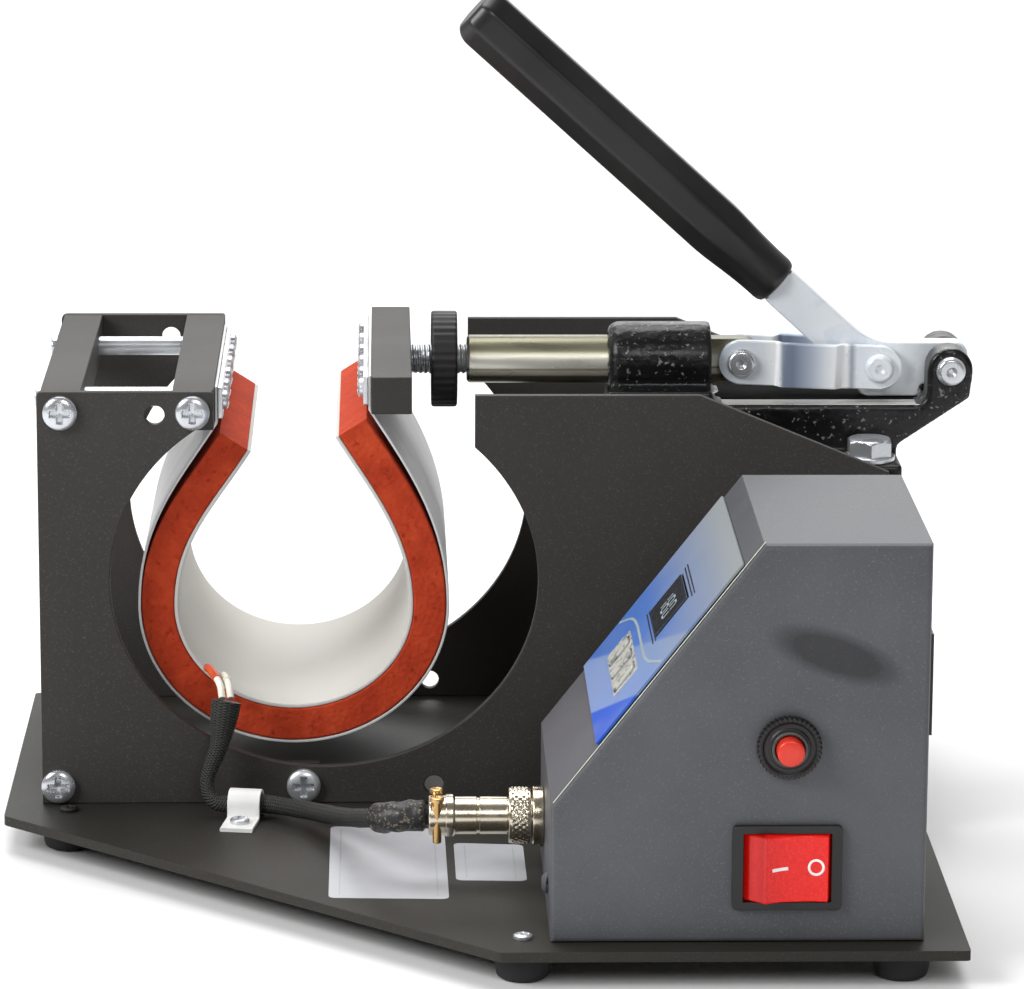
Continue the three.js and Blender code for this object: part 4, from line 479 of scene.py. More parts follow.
def turned(corners, segments=48, steps=3, ripple=None):
    # An open profile with eased corners, turned round Z.
    return lathe(roundedLine(corners, closed=False, steps=steps), segments, ripple)


def knurl(teeth, depth, inner):
    # Ripple for a rim: straight teeth, cut only where the radius is past the inner one.
    def ripple(radius, angle, height):
        return radius - depth * (0.5 - 0.5 * np.cos(teeth * angle)) * (radius > inner)
    return ripple


def diamondKnurl(teeth, depth, inner, lean):
    # Ripple for a rim: two crossed sets of slanting teeth.
    def ripple(radius, angle, height):
        ridge = np.minimum(np.abs(np.sin(teeth * angle / 2 + height * lean)),
                           np.abs(np.sin(teeth * angle / 2 - height * lean)))
        return radius - depth * (1 - ridge) * (radius > inner)
    return ripple


def sweep(section, path, reference, scale=None, lengthEach=0.5):
    # A closed section carried along a path: point = path + across * sx + upward * sy.
    path, section = np.asarray(path, float), np.asarray(section, float)
    along = unit(np.gradient(path, axis=0))
    across = unit(np.cross(np.asarray(reference, float), along))
    upward = np.cross(along, across)
    size = np.ones((1, 1, 1)) if scale is None else scale[:, :, None]
    points = path[:, None, :] + size * (section[None, :, :1] * across[:, None, :]
                                       + section[None, :, 1:] * upward[:, None, :])
    return {**tubeShell(points), "corners": tubeCorners(len(path), len(section), lengthEach)}


def circle(radius, count=16):
    angle = np.arange(count) * 2 * np.pi / count
    return np.stack([radius * np.cos(angle), radius * np.sin(angle)], axis=1)


def flatPlate(outline, holes, thickness, edge=0.0, steps=2):
    # A plate from an outline and holes in X and Y, with rounded edges; it lies from z = 0 up.
    data = bpy.data.curves.new("plateOutline", "CURVE")
    data.dimensions, data.fill_mode = "2D", "BOTH"
    data.extrude, data.bevel_depth, data.offset = thickness / 2 - edge, edge, -edge
    data.bevel_resolution = steps
    for line in [outline, *holes]:
        spline = data.splines.new("POLY")
        spline.points.add(len(line) - 1)
        flat = np.zeros((len(line), 4))
        flat[:, :2], flat[:, 3] = line, 1.0
        spline.points.foreach_set("co", flat.ravel())
        spline.use_cyclic_u = True
    holder = bpy.data.objects.new("plateOutline", data)
    mesh = bpy.data.meshes.new_from_object(holder)
    points = np.zeros(len(mesh.vertices) * 3)
    mesh.vertices.foreach_get("co", points)
    points = points.reshape(-1, 3)
    points[:, 2] += thickness / 2
    faces = [list(polygon.vertices) for polygon in mesh.polygons]
    bpy.data.objects.remove(holder)
    bpy.data.meshes.remove(mesh)
    bpy.data.curves.remove(data)
    corners = np.concatenate([points[face, :2] for face in faces])
    return {"points": points, "faces": faces, "corners": corners}


def lifted(shell, height):
    shell["points"][:, 2] += height
    return shell


def acrossY(shell, y0):
    # A plate drawn in X and Z, stood up so that its thickness runs to +Y from y0.
    x, z, depth = shell["points"].T
    return {**shell, "points": np.stack([x, y0 + depth, z], axis=1)}


def acrossX(shell, x0):
    # A plate drawn in Y and Z, stood up so that its thickness runs to +X from x0.
    y, z, depth = shell["points"].T
    return {**shell, "points": np.stack([x0 + depth, y, z], axis=1)}


def dress(thing, body, material, replaced):
    thing.data.materials.clear()
    thing.data.materials.append(material)
    if replaced:
        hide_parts(replaced)
    if body:
        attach(thing, body)
    return thing


def smoothed(thing, angle, weighted=True):
    mesh = thing.data
    mesh.polygons.foreach_set("use_smooth", np.ones(len(mesh.polygons), bool))
    mesh.set_sharp_from_angle(angle=math.radians(angle))
    if weighted:
        modifier = thing.modifiers.new("evenNormals", "WEIGHTED_NORMAL")
        modifier.keep_sharp = True


def cleaned(name, mesh, tidyFaces):
    # The mesh with its doubles merged and its faces turned outward, in an object of its own.
    working = bmesh.new()
    working.from_mesh(mesh)
    bmesh.ops.remove_doubles(working, verts=working.verts, dist=mergeDistance)
    tidyFaces(working)
    bmesh.ops.recalc_face_normals(working, faces=working.faces)
    working.to_mesh(mesh)
    working.free()
    thing = bpy.data.objects.new(name, mesh)
    scene.collection.objects.link(thing)
    return thing


def dropSlivers(working):
    bmesh.ops.dissolve_degenerate(working, edges=working.edges, dist=mergeDistance)


def joinFlats(working):
    bmesh.ops.dissolve_limit(working, angle_limit=math.radians(1.0), verts=working.verts,
                             edges=working.edges)


def buildPiece(name, shells, body, material, replaced=None, angle=35.0, weighted=True):
    # Shells in millimetres made one mesh piece in the frame.
    shells = shells if isinstance(shells, list) else [shells]
    points, faces, corners, start = [], [], [], 0
    for shell in shells:
        points.append(shell["points"])
        faces.extend([[int(index) + start for index in face] for face in shell["faces"]])
        count = sum(len(face) for face in shell["faces"])
        corners.append(shell.get("corners", np.zeros((count, 2))))
        start += len(shell["points"])
    mesh = bpy.data.meshes.new(name)
    mesh.from_pydata(toFrame(np.concatenate(points)).tolist(), [], faces)
    mesh.uv_layers.new(name="surface").data.foreach_set("uv", np.concatenate(corners).ravel())
    thing = cleaned(name, mesh, dropSlivers)
    smoothed(thing, angle, weighted)
    return dress(thing, body, material, replaced)


def mergedCopy(node, name):
    # The node's mesh copied, its doubles merged and its flat faces made whole.
    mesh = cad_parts[node].data.copy()
    mesh.name = name
    return cleaned(name, mesh, joinFlats)


def softened(node, name, body, material, width):
    # The node itself with its edges rounded.
    thing = mergedCopy(node, name)
    modifier = thing.modifiers.new("softEdge", "BEVEL")
    modifier.width, modifier.segments = width * millimetre, 2
    modifier.limit_method, modifier.angle_limit = "ANGLE", math.radians(30.0)
    smoothed(thing, 32.0)
    dress(thing, body, material, node)


def smoothStep(value, low, high):
    share = np.clip((value - low) / (high - low), 0, 1)
    return share * share * (3 - 2 * share)


# Fasteners. Screw heads: radius, height, the cross's reach, half width and depth, then rows and columns
screwHeads = {
    "foot": (2.8, 1.4, 1.6, 0.4, 0.8, 22, 64), "side": (5.2, 3.0, 2.9, 0.75, 1.7, 22, 64),
    "strip": (2.9, 1.9, 1.7, 0.45, 1.0, 14, 40), "saddle": (2.1, 1.4, 1.2, 0.35, 0.7, 12, 36),
    "clip": (3.0, 1.8, 1.8, 0.45, 0.9, 22, 64),
}


def panHead(kind, at, axis=(0, 0, 1)):
    # Screw head: a dome on a short rim, its height lowered where two crossed slots run.
    radius, height, crossReach, crossHalf, depth, rows, columns = screwHeads[kind]
    share = np.linspace(0, 1, rows)[:, None]
    angle = np.arange(columns)[None, :] * 2 * np.pi / columns
    reach = radius * share + 0 * angle
    x, y = reach * np.cos(angle), reach * np.sin(angle)
    dome = height * (0.42 + 0.58 * np.sqrt(np.clip(1 - (share * 0.98) ** 2.6, 0, 1)))

    def arm(along, aside):
        return ((1 - smoothStep(np.abs(aside), crossHalf, crossHalf * 1.35))
                * (1 - smoothStep(np.abs(along), crossReach, crossReach * 1.12)))
    z = dome - depth * np.maximum(arm(x, y), arm(y, x)) * (1 - 0.35 * share)
    top = np.stack([x, y, z], axis=-1)
    rim = top[-1:].copy()
    rim[..., 2] = 0.0
    points = np.concatenate([top, rim, np.zeros_like(rim)])
    return placed({"points": points.reshape(-1, 3), "faces": gridFaces(rows + 2, columns, True)}, at, axis)


def hexHead(across, height, chamfer, rows=14, columns=72):
    # Hex head: the hexagon's reach, cut by a cone near its top.
    angle = np.arange(columns)[None, :] * 2 * np.pi / columns
    inSide = (angle + np.pi / 6) % (np.pi / 3) - np.pi / 6
    levels = np.concatenate([[0.0, 0.0], np.linspace(0.25, 1.0, rows)])[:, None] * height
    cone = across / 2 * 0.97 + (height - levels) * chamfer
    reach = np.minimum(across / 2 / np.cos(inSide), cone)
    reach[0] = 0.0
    reach = np.concatenate([reach, reach[-1:] * 0.6, np.zeros((1, columns))])
    levels = np.concatenate([levels, levels[-1:], levels[-1:]])
    points = np.stack([reach * np.cos(angle), reach * np.sin(angle), levels + 0 * angle], axis=-1)
    return {"points": points.reshape(-1, 3), "faces": gridFaces(rows + 4, columns, True)}


def washerShell(radius, inner, thickness):
    return turned([(inner, 0), (radius, 0, 0.3), (radius, thickness, 0.4), (inner, thickness), (inner, 0)])


def rodShell(radius, length, edge=0.4, segments=32):
    return turned([(0, 0), (radius, 0, edge), (radius, length, edge), (0, length)], segments)


def threadShell(radius, length, pitch, depth, segments=28):
    # Helical thread: r = R - depth * (triangle wave of height / pitch - turn), eased out at both ends.
    rows = int(length / pitch * 8) + 1
    side = np.stack([np.full(rows, radius), np.linspace(0, length, rows)], axis=1)

    def ripple(reach, angle, level):
        phase = (level / pitch - angle / (2 * np.pi)) % 1.0
        groove = np.abs(phase - 0.5) * 2
        taper = np.minimum(level, length - level) / (0.8 * pitch)
        return np.where(reach > 0, reach - depth * groove - depth * np.clip(1 - taper, 0, 1), 0.0)
    return lathe(np.concatenate([[[0.0, 0.0]], side, [[0.0, length]]]), segments, ripple)


# Base plate, feet and what lies on the base
base = {
    "edge": 0.45, "seat": 0.1,
    "feet": [(66.8, -197.5), (174.2, -197.5), (-68.9, -71.0), (-68.9, 51.5), (174.2, 51.5)],
    "footRadius": 8.6, "footTip": 7.4, "footHeight": 8.0, "footShoulder": 1.6,
    "darkScrews": (2,),  # the screw by the shoulder is blacked
}
softened("base_plate", "base", "frame", basePowder, base["edge"])
seat, footHeight, footTip, footRadius = (
    base[key] for key in ("seat", "footHeight", "footTip", "footRadius"))
for index, (x, y) in enumerate(base["feet"]):
    foot = turned([(0, -footHeight), (footTip, -footHeight, 1.4), (footRadius, -base["footShoulder"], 1.0),
                   (footRadius, -seat, 0.4), (0, -seat)], steps=5)
    buildPiece(f"foot_{index + 1}", placed(foot, (x, y, -baseThickness)), "frame", rubber,
               f"rubber_foot_{index + 1}")
    plating = blackPlastic if index in base["darkScrews"] else zinc
    buildPiece(f"foot_screw_{index + 1}", panHead("foot", (x, y, seat)), "frame", plating)
stickers = {
    "thickness": 0.16, "lift": 0.02, "corner": 2.4, "lineWidth": 0.35, "lineInset": 3.0,
    "lineThickness": 0.04,
    "sheets": {
        "large_sticker": [(11.5, -160.0), (46.5, -161.5), (46.0, -92.0), (11.5, -89.0)],
        "small_sticker": [(48.8, -143.5), (69.6, -144.5), (69.4, -108.5), (48.6, -106.5)],
    },
}


def addSticker(look, name, corners):
    # A blank printed sheet with round corners, and a thin frame line inside its two short sides.
    corners = np.array(corners, float)
    line = roundedLine([(x, y, look["corner"]) for x, y in corners], steps=5)
    sheet = lifted(flatPlate(line, [], look["thickness"], 0.04, 1), look["lift"])
    buildPiece(name, sheet, "frame", sticker)
    shells = []
    for first, second, inward in ((0, 3, 1), (1, 2, -1)):
        low, high = corners[first] + (0, look["lineInset"]), corners[second] - (0, look["lineInset"])
        x0 = look["lineInset"] * inward
        x1 = x0 + look["lineWidth"] * inward
        line = np.array([low + (x0, 0), low + (x1, 0), high + (x1, 0), high + (x0, 0)])
        shells.append(lifted(flatPlate(line, [], look["lineThickness"]), look["lift"] + look["thickness"]))
    buildPiece(name + "_lines", shells, "frame", greySticker, weighted=False)


for name, corners in stickers["sheets"].items():
    addSticker(stickers, name, corners)
print("heat press: base and feet")

# Side plates, bars and rods
sides = {
    "left": -77.5, "right": 182.0, "leftTop": 129.6, "rightTop": 128.4, "rightTabLeft": 55.5,
    "slopeStart": 124.0, "slopeDrop": 24.0, "corner": 2.0, "thickness": 3.0, "inner": 60.5, "lift": 0.1,
    "cutCentre": (9.5, 70.4), "cutHalf": (65.5, 58.8), "leftFace": -24.0,
    "holes": [(-41.7, 122.4), (43.2, 5.6)], "holeRadius": 3.0, "edge": 0.35,
    "screws": [(-70.3, 123.4), (-30.2, 123.4), (-72.5, 5.8), (3.0, 5.8), (166.0, 5.8),
               (150.745, 83.0), (176.745, 83.0)],
    "rodRadius": 3.0, "rodStart": -79.5, "rodLength": 51.1, "rodSpacing": 80.0, "rodZ": 123.4,
}


def sideOutline(look):
    (cx, cz), (halfX, halfZ) = look["cutCentre"], look["cutHalf"]
    left, right, face, bend = (look[key] for key in ("left", "right", "leftFace", "corner"))
    leftTop, rightTop = look["leftTop"], look["rightTop"]
    start = math.acos((face - cx) / halfX)
    end = 2 * math.pi + math.acos((look["rightTabLeft"] - cx) / halfX)
    angle = np.linspace(start, end, 110)
    cut = np.stack([cx + halfX * np.cos(angle), cz + halfZ * np.sin(angle)], axis=1)
    leftSide = roundedLine([(left, 0), (left, leftTop, bend), (face, leftTop, bend)], closed=False)
    corner = roundedLine([(face - bend, leftTop), (face, leftTop, bend), tuple(cut[0])], closed=False)
    rightSide = [(look["rightTabLeft"], rightTop), (look["slopeStart"], rightTop),
                 (right, rightTop - look["slopeDrop"]), (right, 0)]
    return np.concatenate([leftSide[:-1], corner, cut[1:], rightSide])


outline = sideOutline(sides)
holes = [np.array(place) + circle(sides["holeRadius"], 28) for place in sides["holes"]]
for name, side in (("front", -1), ("rear", 1)):
    face = side * (sides["inner"] + sides["thickness"])
    y0 = min(face, side * sides["inner"])
    plate = lifted(acrossY(flatPlate(outline, holes, sides["thickness"], sides["edge"]), y0), sides["lift"])
    buildPiece(f"{name}_plate", plate, "frame", powder, f"{name}_side_plate")
    heads = [panHead("side", (x, face, z), (0, side, 0)) for x, z in sides["screws"]]
    buildPiece(f"{name}_plate_screws", heads, "frame", zinc)
for node, name, edge in (("left_cross_bar", "left_bar", 0.5), ("anchor_bar", "heater_bar", 0.5),
                         ("clamp_bracket", "bracket", 0.7)):
    softened(node, name, "frame", powder, edge)
for name, side in (("front", -1), ("rear", 1)):
    at = (sides["rodStart"], side * sides["rodSpacing"] / 2, sides["rodZ"])
    rod = placed(rodShell(sides["rodRadius"], sides["rodLength"], 0.6), at, (1, 0, 0))
    buildPiece(f"{name}_rod", rod, "frame", zinc, f"{name}_tie_rod")
print("heat press: side plates, bars and rods")

# Heater ring: sponge, mat and band, each in three lengths so that it opens with the block
heater = {
    "halfWidth": 47.0, "drop": 43.0, "centre": 59.5, "lift": 25.0, "reach": 20.0, "lean": 32.0,
    "width": 100.0, "ends": ((-22.5, 114.2), (22.5, 118.45)), "spongeThickness": 10.0,
    "matThickness": 1.2, "matGap": 0.1, "matInset": 0.4, "bandThickness": 0.8, "bandGap": 0.6,
    "bandLift": 27.0, "bandEnds": ((-23.5, 117.1), (23.5, 121.35)), "bandTops": (128.4, 131.75),
    "fill": 0.9, "blendStart": -46.0, "blendEnd": 46.0,
}


def bezier(points, steps):
    first, second, third, fourth = (np.asarray(point, float) for point in points)
    share = np.linspace(0, 1, steps)[:, None]
    return ((1 - share) ** 3 * first + 3 * share * (1 - share) ** 2 * second
            + 3 * share ** 2 * (1 - share) * third + share ** 3 * fourth)


def ringLines(look, gap, lift, leftEnd, rightEnd):
    # The ring's outer face in three lines: left shoulder, bowl and right shoulder, end to end.
    lean, halfWidth, centre = math.radians(look["lean"]), look["halfWidth"] + gap, look["centre"]
    reach = look["reach"] * math.sin(lean), look["reach"] * math.cos(lean)
    left = bezier([leftEnd, (leftEnd[0] - reach[0], leftEnd[1] - reach[1]),
                   (-halfWidth, centre + lift), (-halfWidth, centre)], 30)
    angle = np.linspace(math.pi, 2 * math.pi, 90)
    bowl = np.stack([halfWidth * np.cos(angle), centre + (look["drop"] + gap) * np.sin(angle)], axis=1)
    right = bezier([(halfWidth, centre), (halfWidth, centre + lift),
                    (rightEnd[0] + reach[0], rightEnd[1] - reach[1]), rightEnd], 30)
    return [left, bowl, right]


def bandPieces(lines, near, far, width, corner, wobble=0.0):
    # Each line carried into a closed band: its section is a rounded rectangle in Y and distance.
    whole = np.concatenate([lines[0], lines[1][1:], lines[2][1:]])
    along = unit(np.gradient(whole, axis=0))
    outward = np.stack([along[:, 1], -along[:, 0]], axis=1)
    section = rectangleLine(-width / 2, width / 2, near, far, corner, 3)
    ends = np.cumsum([len(line) - 1 for line in lines])
    pieces = []
    for start, end in zip([0, *ends[:-1]], ends):
        path, normal = whole[start:end + 1], outward[start:end + 1]
        travel = np.arange(start, end + 1)
        sway = wobble * (np.sin(travel * 0.55) + 0.6 * np.sin(travel * 1.31 + 1.0))
        flat = path[:, None, :] + normal[:, None, :] * section[None, :, 1:]
        y = section[None, :, 0] + sway[:, None] * np.sign(section[None, :, 0])
        pieces.append(tubeShell(np.stack([flat[..., 0], y + 0 * flat[..., 0], flat[..., 1]], axis=-1)))
    return pieces


def addRing(name, shells, material, replaced):
    for part, shell, body in zip(("left", "bowl", "right"), shells, ("frame", None, "press")):
        thing = buildPiece(f"{name}_{part}", shell, body, material, replaced, angle=50.0)
        if body is None:
            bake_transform(thing)


spongeFace, width, halfBand = -heater["spongeThickness"], heater["width"], heater["bandThickness"] / 2
ringLine = ringLines(heater, 0.0, heater["lift"], *heater["ends"])
pieces = bandPieces(ringLine, spongeFace, 0.0, width, 0.7, 0.12)
addRing("sponge", pieces, sponge, "sponge_pad")
matFar = spongeFace - heater["matGap"]
pieces = bandPieces(ringLine, matFar - heater["matThickness"], matFar, width - heater["matInset"], 0.4)
addRing("mat", pieces, matCloth, "heating_mat")
bandLines = ringLines(heater, heater["bandGap"], heater["bandLift"], *heater["bandEnds"])
(leftX, leftZ), (rightX, rightZ) = heater["bandEnds"]
leftTop, rightTop = heater["bandTops"]
bandLines[0] = np.concatenate([[(leftX, leftTop), (leftX, leftZ + 1.0)], bandLines[0]])
bandLines[2] = np.concatenate([bandLines[2], [(rightX, rightZ + 1.0), (rightX, rightTop)]])
pieces = bandPieces(bandLines, -halfBand, halfBand, width, 0.2)
addRing("band", pieces, bandSteel, "heater_band")
print("heat press: heater ring")

# Strips that clamp the band, with their rows of screws
strips = {
    "thickness": 1.5, "margin": 1.2, "corner": 0.8, "face": 21.5, "count": 6,
    "inset": 5.0, "anchor": (117.2, 129.6), "press": (121.45, 132.95),
}
for name, side, body in (("anchor", -1, "frame"), ("press", 1, "press")):
    (z0, z1), margin = strips[name], strips["margin"]
    line = rectangleLine(-width / 2, width / 2, z0 + margin, z1 - margin, strips["corner"], 3)
    face = side * strips["face"]
    x0 = min(face, side * (strips["face"] + strips["thickness"]))
    plate = acrossX(flatPlate(line, [], strips["thickness"], 0.25), x0)
    reach = width / 2 - strips["inset"]
    heads = [panHead("strip", (face, y, (z0 + z1) / 2), (-side, 0, 0))
             for y in np.linspace(-reach, reach, strips["count"])]
    buildPiece(f"{name}_strip", [plate, *heads], body, zinc, f"{name}_clamp_strip")

# Press block, adjusting screw and plunger
clamp = {
    "axisZ": 127.2, "wheelLeft": 42.8, "wheelWidth": 8.2, "wheelRadius": 15.2, "wheelTeeth": 36,
    "wheelDepth": 0.28,
    "wheelSteps": [(0.55, 0.0, 0.8), (0.62, 0.7, 0.5), (0.8, 0.7, 0.5), (0.86, 0.0, 0.5), (1.0, 0.0, 1.1)],
    "studRadius": 4.8, "studStart": 27.2, "studEnd": 68.0, "pitch": 1.5, "threadDepth": 0.55,
    "plungerLeft": 54.0, "plungerRadius": 7.6, "plungerLength": 74.5, "boreRadius": 5.16,
    "boreDepth": 14.3, "tongueHalf": 7.0, "tongueThickness": 7.0, "pinA": 140.5, "holeRadius": 3.3,
    "bands": [(0.0, 96, 93, 78), (0.2, 92, 90, 76), (0.25, 214, 212, 200), (0.33, 224, 222, 210),
              (0.36, 150, 148, 132), (0.4, 255, 255, 250), (0.6, 255, 255, 250), (0.67, 196, 194, 178),
              (0.8, 148, 146, 126), (1.0, 104, 102, 84)],
}
axisZ, pinA, alongX = clamp["axisZ"], clamp["pinA"], (1, 0, 0)
# The plunger's colour bands along Z paint light into its colour: painted highlights across the middle and
# just below it, and darker olive towards the top and bottom, partly a dull oily film and partly painted
# shade.
banded(ground, "Z", axisZ, clamp["plungerRadius"], clamp["bands"])
softened("press_block", "block", "press", powder, 0.6)
# The wheel's faces step in and out again at shares of its radius; each step is (share, depth, ease)
wheelR, wheelW, studR = clamp["wheelRadius"], clamp["wheelWidth"], clamp["studRadius"]
wheelLine = [(studR, 0), *[(wheelR * share, depth, ease) for share, depth, ease in clamp["wheelSteps"]],
             *[(wheelR * share, wheelW - depth, ease) for share, depth, ease in clamp["wheelSteps"][::-1]],
             (studR, wheelW), (studR, 0)]
wheel = turned(wheelLine, 192, 4, knurl(clamp["wheelTeeth"], clamp["wheelDepth"], wheelR * 0.93))
wheel = placed(wheel, (clamp["wheelLeft"], 0, axisZ), alongX)
buildPiece("wheel", wheel, "adjuster", wheelBlack, "adjusting_wheel")
stud = threadShell(studR, clamp["studEnd"] - clamp["studStart"], clamp["pitch"], clamp["threadDepth"])
stud = placed(stud, (clamp["studStart"], 0, axisZ), alongX)
buildPiece("stud", stud, "adjuster", zinc, "press_stud", angle=60.0)
plungerR, plungerL, boreR, boreD = (
    clamp[key] for key in ("plungerRadius", "plungerLength", "boreRadius", "boreDepth"))
bar = turned([(0, boreD), (boreR, boreD), (boreR, 0, 0.4), (plungerR - 0.8, 0, 0.3), (plungerR, 0.8, 0.3),
              (plungerR, plungerL, 0.5), (0, plungerL)], 96)
tongueHalf, tongueT, root = clamp["tongueHalf"], clamp["tongueThickness"], clamp["plungerLeft"] + plungerL - 1
turn = np.linspace(-math.pi / 2, math.pi / 2, 24)
tongueLine = np.concatenate([
    [(root, axisZ - tongueHalf)],
    np.stack([pinA + tongueHalf * np.cos(turn), axisZ + tongueHalf * np.sin(turn)], axis=1),
    [(root, axisZ + tongueHalf)]])
tongueHole = np.array((pinA, axisZ)) + circle(clamp["holeRadius"], 24)
tongue = acrossY(flatPlate(tongueLine, [tongueHole], tongueT, 0.3), -tongueT / 2)
buildPiece("push_rod", [placed(bar, (clamp["plungerLeft"], 0, axisZ), alongX), tongue], "press", ground,
           "plunger")
print("heat press: block, wheel and plunger")

# Clamp casting: the node's form with cast corners, and its bolts
cast = {
    "voxel": 0.9, "smoothTimes": 6, "boltX": (107.6, 179.645), "boltHalf": 25.5, "footTop": 100.0,
    "seat": 0.1, "washerRadius": 8.0, "washerThickness": 1.6, "across": 13.0, "headHeight": 5.3,
    "chamfer": 1.5, "shankRadius": 4.0, "shankLength": 18.0, "ledgeLeft": 132.4, "ledgeRight": 197.0,
    "ledgeTop": 115.4, "ledgeThickness": 0.15,
}


def castCopy(node, name, look):
    # Merged copy, remeshed on a fine grid and relaxed, which rounds every corner as a casting's are.
    thing = mergedCopy(node, name)
    remesh = thing.modifiers.new("castGrid", "REMESH")
    remesh.mode, remesh.voxel_size, remesh.adaptivity = "VOXEL", look["voxel"] * millimetre, 0.0
    relax = thing.modifiers.new("castRelax", "SMOOTH")
    relax.factor, relax.iterations = 0.5, look["smoothTimes"]
    bpy.context.view_layer.update()
    whole = bpy.data.meshes.new_from_object(thing.evaluated_get(bpy.context.evaluated_depsgraph_get()))
    thing.modifiers.clear()
    thing.data = whole
    whole.polygons.foreach_set("use_smooth", np.ones(len(whole.polygons), bool))
    return thing


dress(castCopy("clamp_body", "casting", cast), "frame", casting, "clamp_body")
seat = cast["footTop"] + cast["seat"]
boltPlaces = [(x, side * cast["boltHalf"]) for x in cast["boltX"] for side in (-1, 1)]
for index, (x, y) in enumerate(boltPlaces):
    shells = [placed(shell, (x, y, z)) for shell, z in (
        (washerShell(cast["washerRadius"], cast["shankRadius"], cast["washerThickness"]), seat),
        (hexHead(cast["across"], cast["headHeight"], cast["chamfer"]), seat + cast["washerThickness"]),
        (rodShell(cast["shankRadius"], cast["shankLength"]), cast["footTop"] - cast["shankLength"]))]
    buildPiece(f"bolt_{index + 1}", shells, "frame", zinc, f"clamp_bolt_{index + 1}")
# A bright machined steel strip along the casting's front edge, and behind it a rough black sheet: a rough
# cast floor that also stands in as painted shade under the links.
for name, front, back, material, slotName in (
        ("machined_ledge", -15.4, -7.5, ledgeSteel, "polished_steel"),
        ("ledge_floor_shade", -7.4, 15.4, castRough, "gloss_black_casting")):
    line = rectangleLine(cast["ledgeLeft"], cast["ledgeRight"], front, back, 1, 3)
    shell = lifted(flatPlate(line, [], cast["ledgeThickness"], 0.05), cast["ledgeTop"])
    buildPiece(name, shell, "frame", material)
print("heat press: casting and bolts")

# Links, pins and lever
toggle = {
    "pinB": (184.266, 125.463), "pivot": (205.745, 126.4), "linkLength": 43.8, "linkHalf": 7.0,
    "linkThickness": 3.0, "inner": 3.9, "joggle": 2.4, "rampStart": 0.24, "rampEnd": 0.74, "ramp": 0.07,
    "castHalf": 16.0, "ease": 0.35, "pinRadius": 3.0, "headRadius": 4.6, "headHeight": 2.4, "dimple": 1.6,
    "dimpleDepth": 0.9,
    "bands": [(0.0, 214, 220, 228), (0.24, 236, 240, 245), (0.29, 255, 255, 255), (0.325, 255, 255, 255),
              (0.345, 138, 147, 162), (0.4, 126, 138, 160), (0.5, 184, 193, 208), (0.58, 232, 236, 241),
              (0.64, 252, 253, 254), (0.7, 255, 255, 255), (0.725, 158, 165, 176), (0.755, 232, 236, 241),
              (1.0, 240, 243, 246)],
}
pinBx, pinBz = toggle["pinB"]
outerFace = toggle["inner"] + toggle["linkThickness"]
# The links' colour bands along X are painted light: painted highlights on the bends and on the right of the
# raised middle, painted shade at its left and in a thin line at the second bend.
banded(linkZinc, "X", (pinA + pinBx) / 2, (pinBx - pinA) / 2 + toggle["linkHalf"], toggle["bands"])


def linkShell(look, side):
    # Link: a rounded strip section whose half height follows the outline and whose side step is eased.
    length, half = look["linkLength"], look["linkHalf"]
    ends = half * (1 - np.cos(np.linspace(0, math.pi / 2, 14)))
    along = np.concatenate([-half + ends, np.linspace(0, length, 80)[1:-1], (length + half - ends)[::-1]])
    beyond = np.maximum(np.maximum(-along, along - length), 0)
    halfHeight = np.sqrt(np.clip(half ** 2 - beyond ** 2, 0, None))
    ramp, first, last = (look[key] * length for key in ("ramp", "rampStart", "rampEnd"))
    step = look["joggle"] * (smoothStep(along, first, first + ramp) - smoothStep(along, last - ramp, last))
    thickness, ease = look["linkThickness"], look["ease"]
    corners = np.array([(-1, ease), (-0.95, 0), (0, 0), (0.95, 0), (1, ease), (1, thickness - ease),
                        (0.95, thickness), (0, thickness), (-0.95, thickness), (-1, thickness - ease)])
    height = halfHeight[:, None] * corners[None, :, 0]
    depth = side * (look["inner"] + step[:, None] + corners[None, :, 1])
    x = along[:, None] + 0 * height
    angle = math.atan2(pinBz - axisZ, pinBx - pinA)
    return tubeShell(np.stack([pinA + x * math.cos(angle) - height * math.sin(angle), depth,
                               axisZ + x * math.sin(angle) + height * math.cos(angle)], axis=-1))


def rivetAt(look, x, z, side, face):
    # Rivet head with a dimple, on the side's outer face.
    radius, height, dimple = look["headRadius"], look["headHeight"], look["dimple"]
    floor = height - look["dimpleDepth"]
    shell = turned([(0, 0), (radius, 0), (radius, height * 0.5, 0.3), (radius * 0.82, height, 0.9),
                    (dimple, height, 0.25), (dimple * 0.5, floor, 0.2), (0, floor)], 40, 4)
    return placed(shell, (x, side * face, z), (0, side, 0))


for name, side in (("front", -1), ("rear", 1)):
    shells = [linkShell(toggle, side), rivetAt(toggle, pinBx, pinBz, side, outerFace)]
    buildPiece(f"{name}_toggle_link", shells, "links", linkZinc, f"{name}_link", angle=40.0)
for name, body, node, x, z, face in (
        ("link_rivet", "links", "link_pin", pinA, axisZ, outerFace),
        ("lever_rivet", "frame", "lever_pin", *toggle["pivot"], toggle["castHalf"])):
    pin = placed(rodShell(toggle["pinRadius"], 2 * face, 0.1), (x, -face, z), (0, 1, 0))
    heads = [rivetAt(toggle, x, z, side, face) for side in (-1, 1)]
    buildPiece(name, [pin, *heads], body, zinc, node)

lever = {
    "armWidth": 12.5, "armTilt": 42.5, "gripTilt": 42.0, "topRise": 6.8, "bellyFront": 8.5,
    "bellyBack": 27.0, "fillet": 5.0, "bellyDrop": 10.7, "elbow": (-37.8, 10.4), "armLength": 21.3,
    "tangLength": 96.0, "tangWidth": 10.0, "thickness": 7.0, "edge": 0.6, "holeRadius": 3.3,
    "gripLength": 129.2, "gripRadius": 10.0, "neckRadius": 8.3, "neckShare": 0.2, "flatShare": 0.86,
    "rounding": 5.5,
}


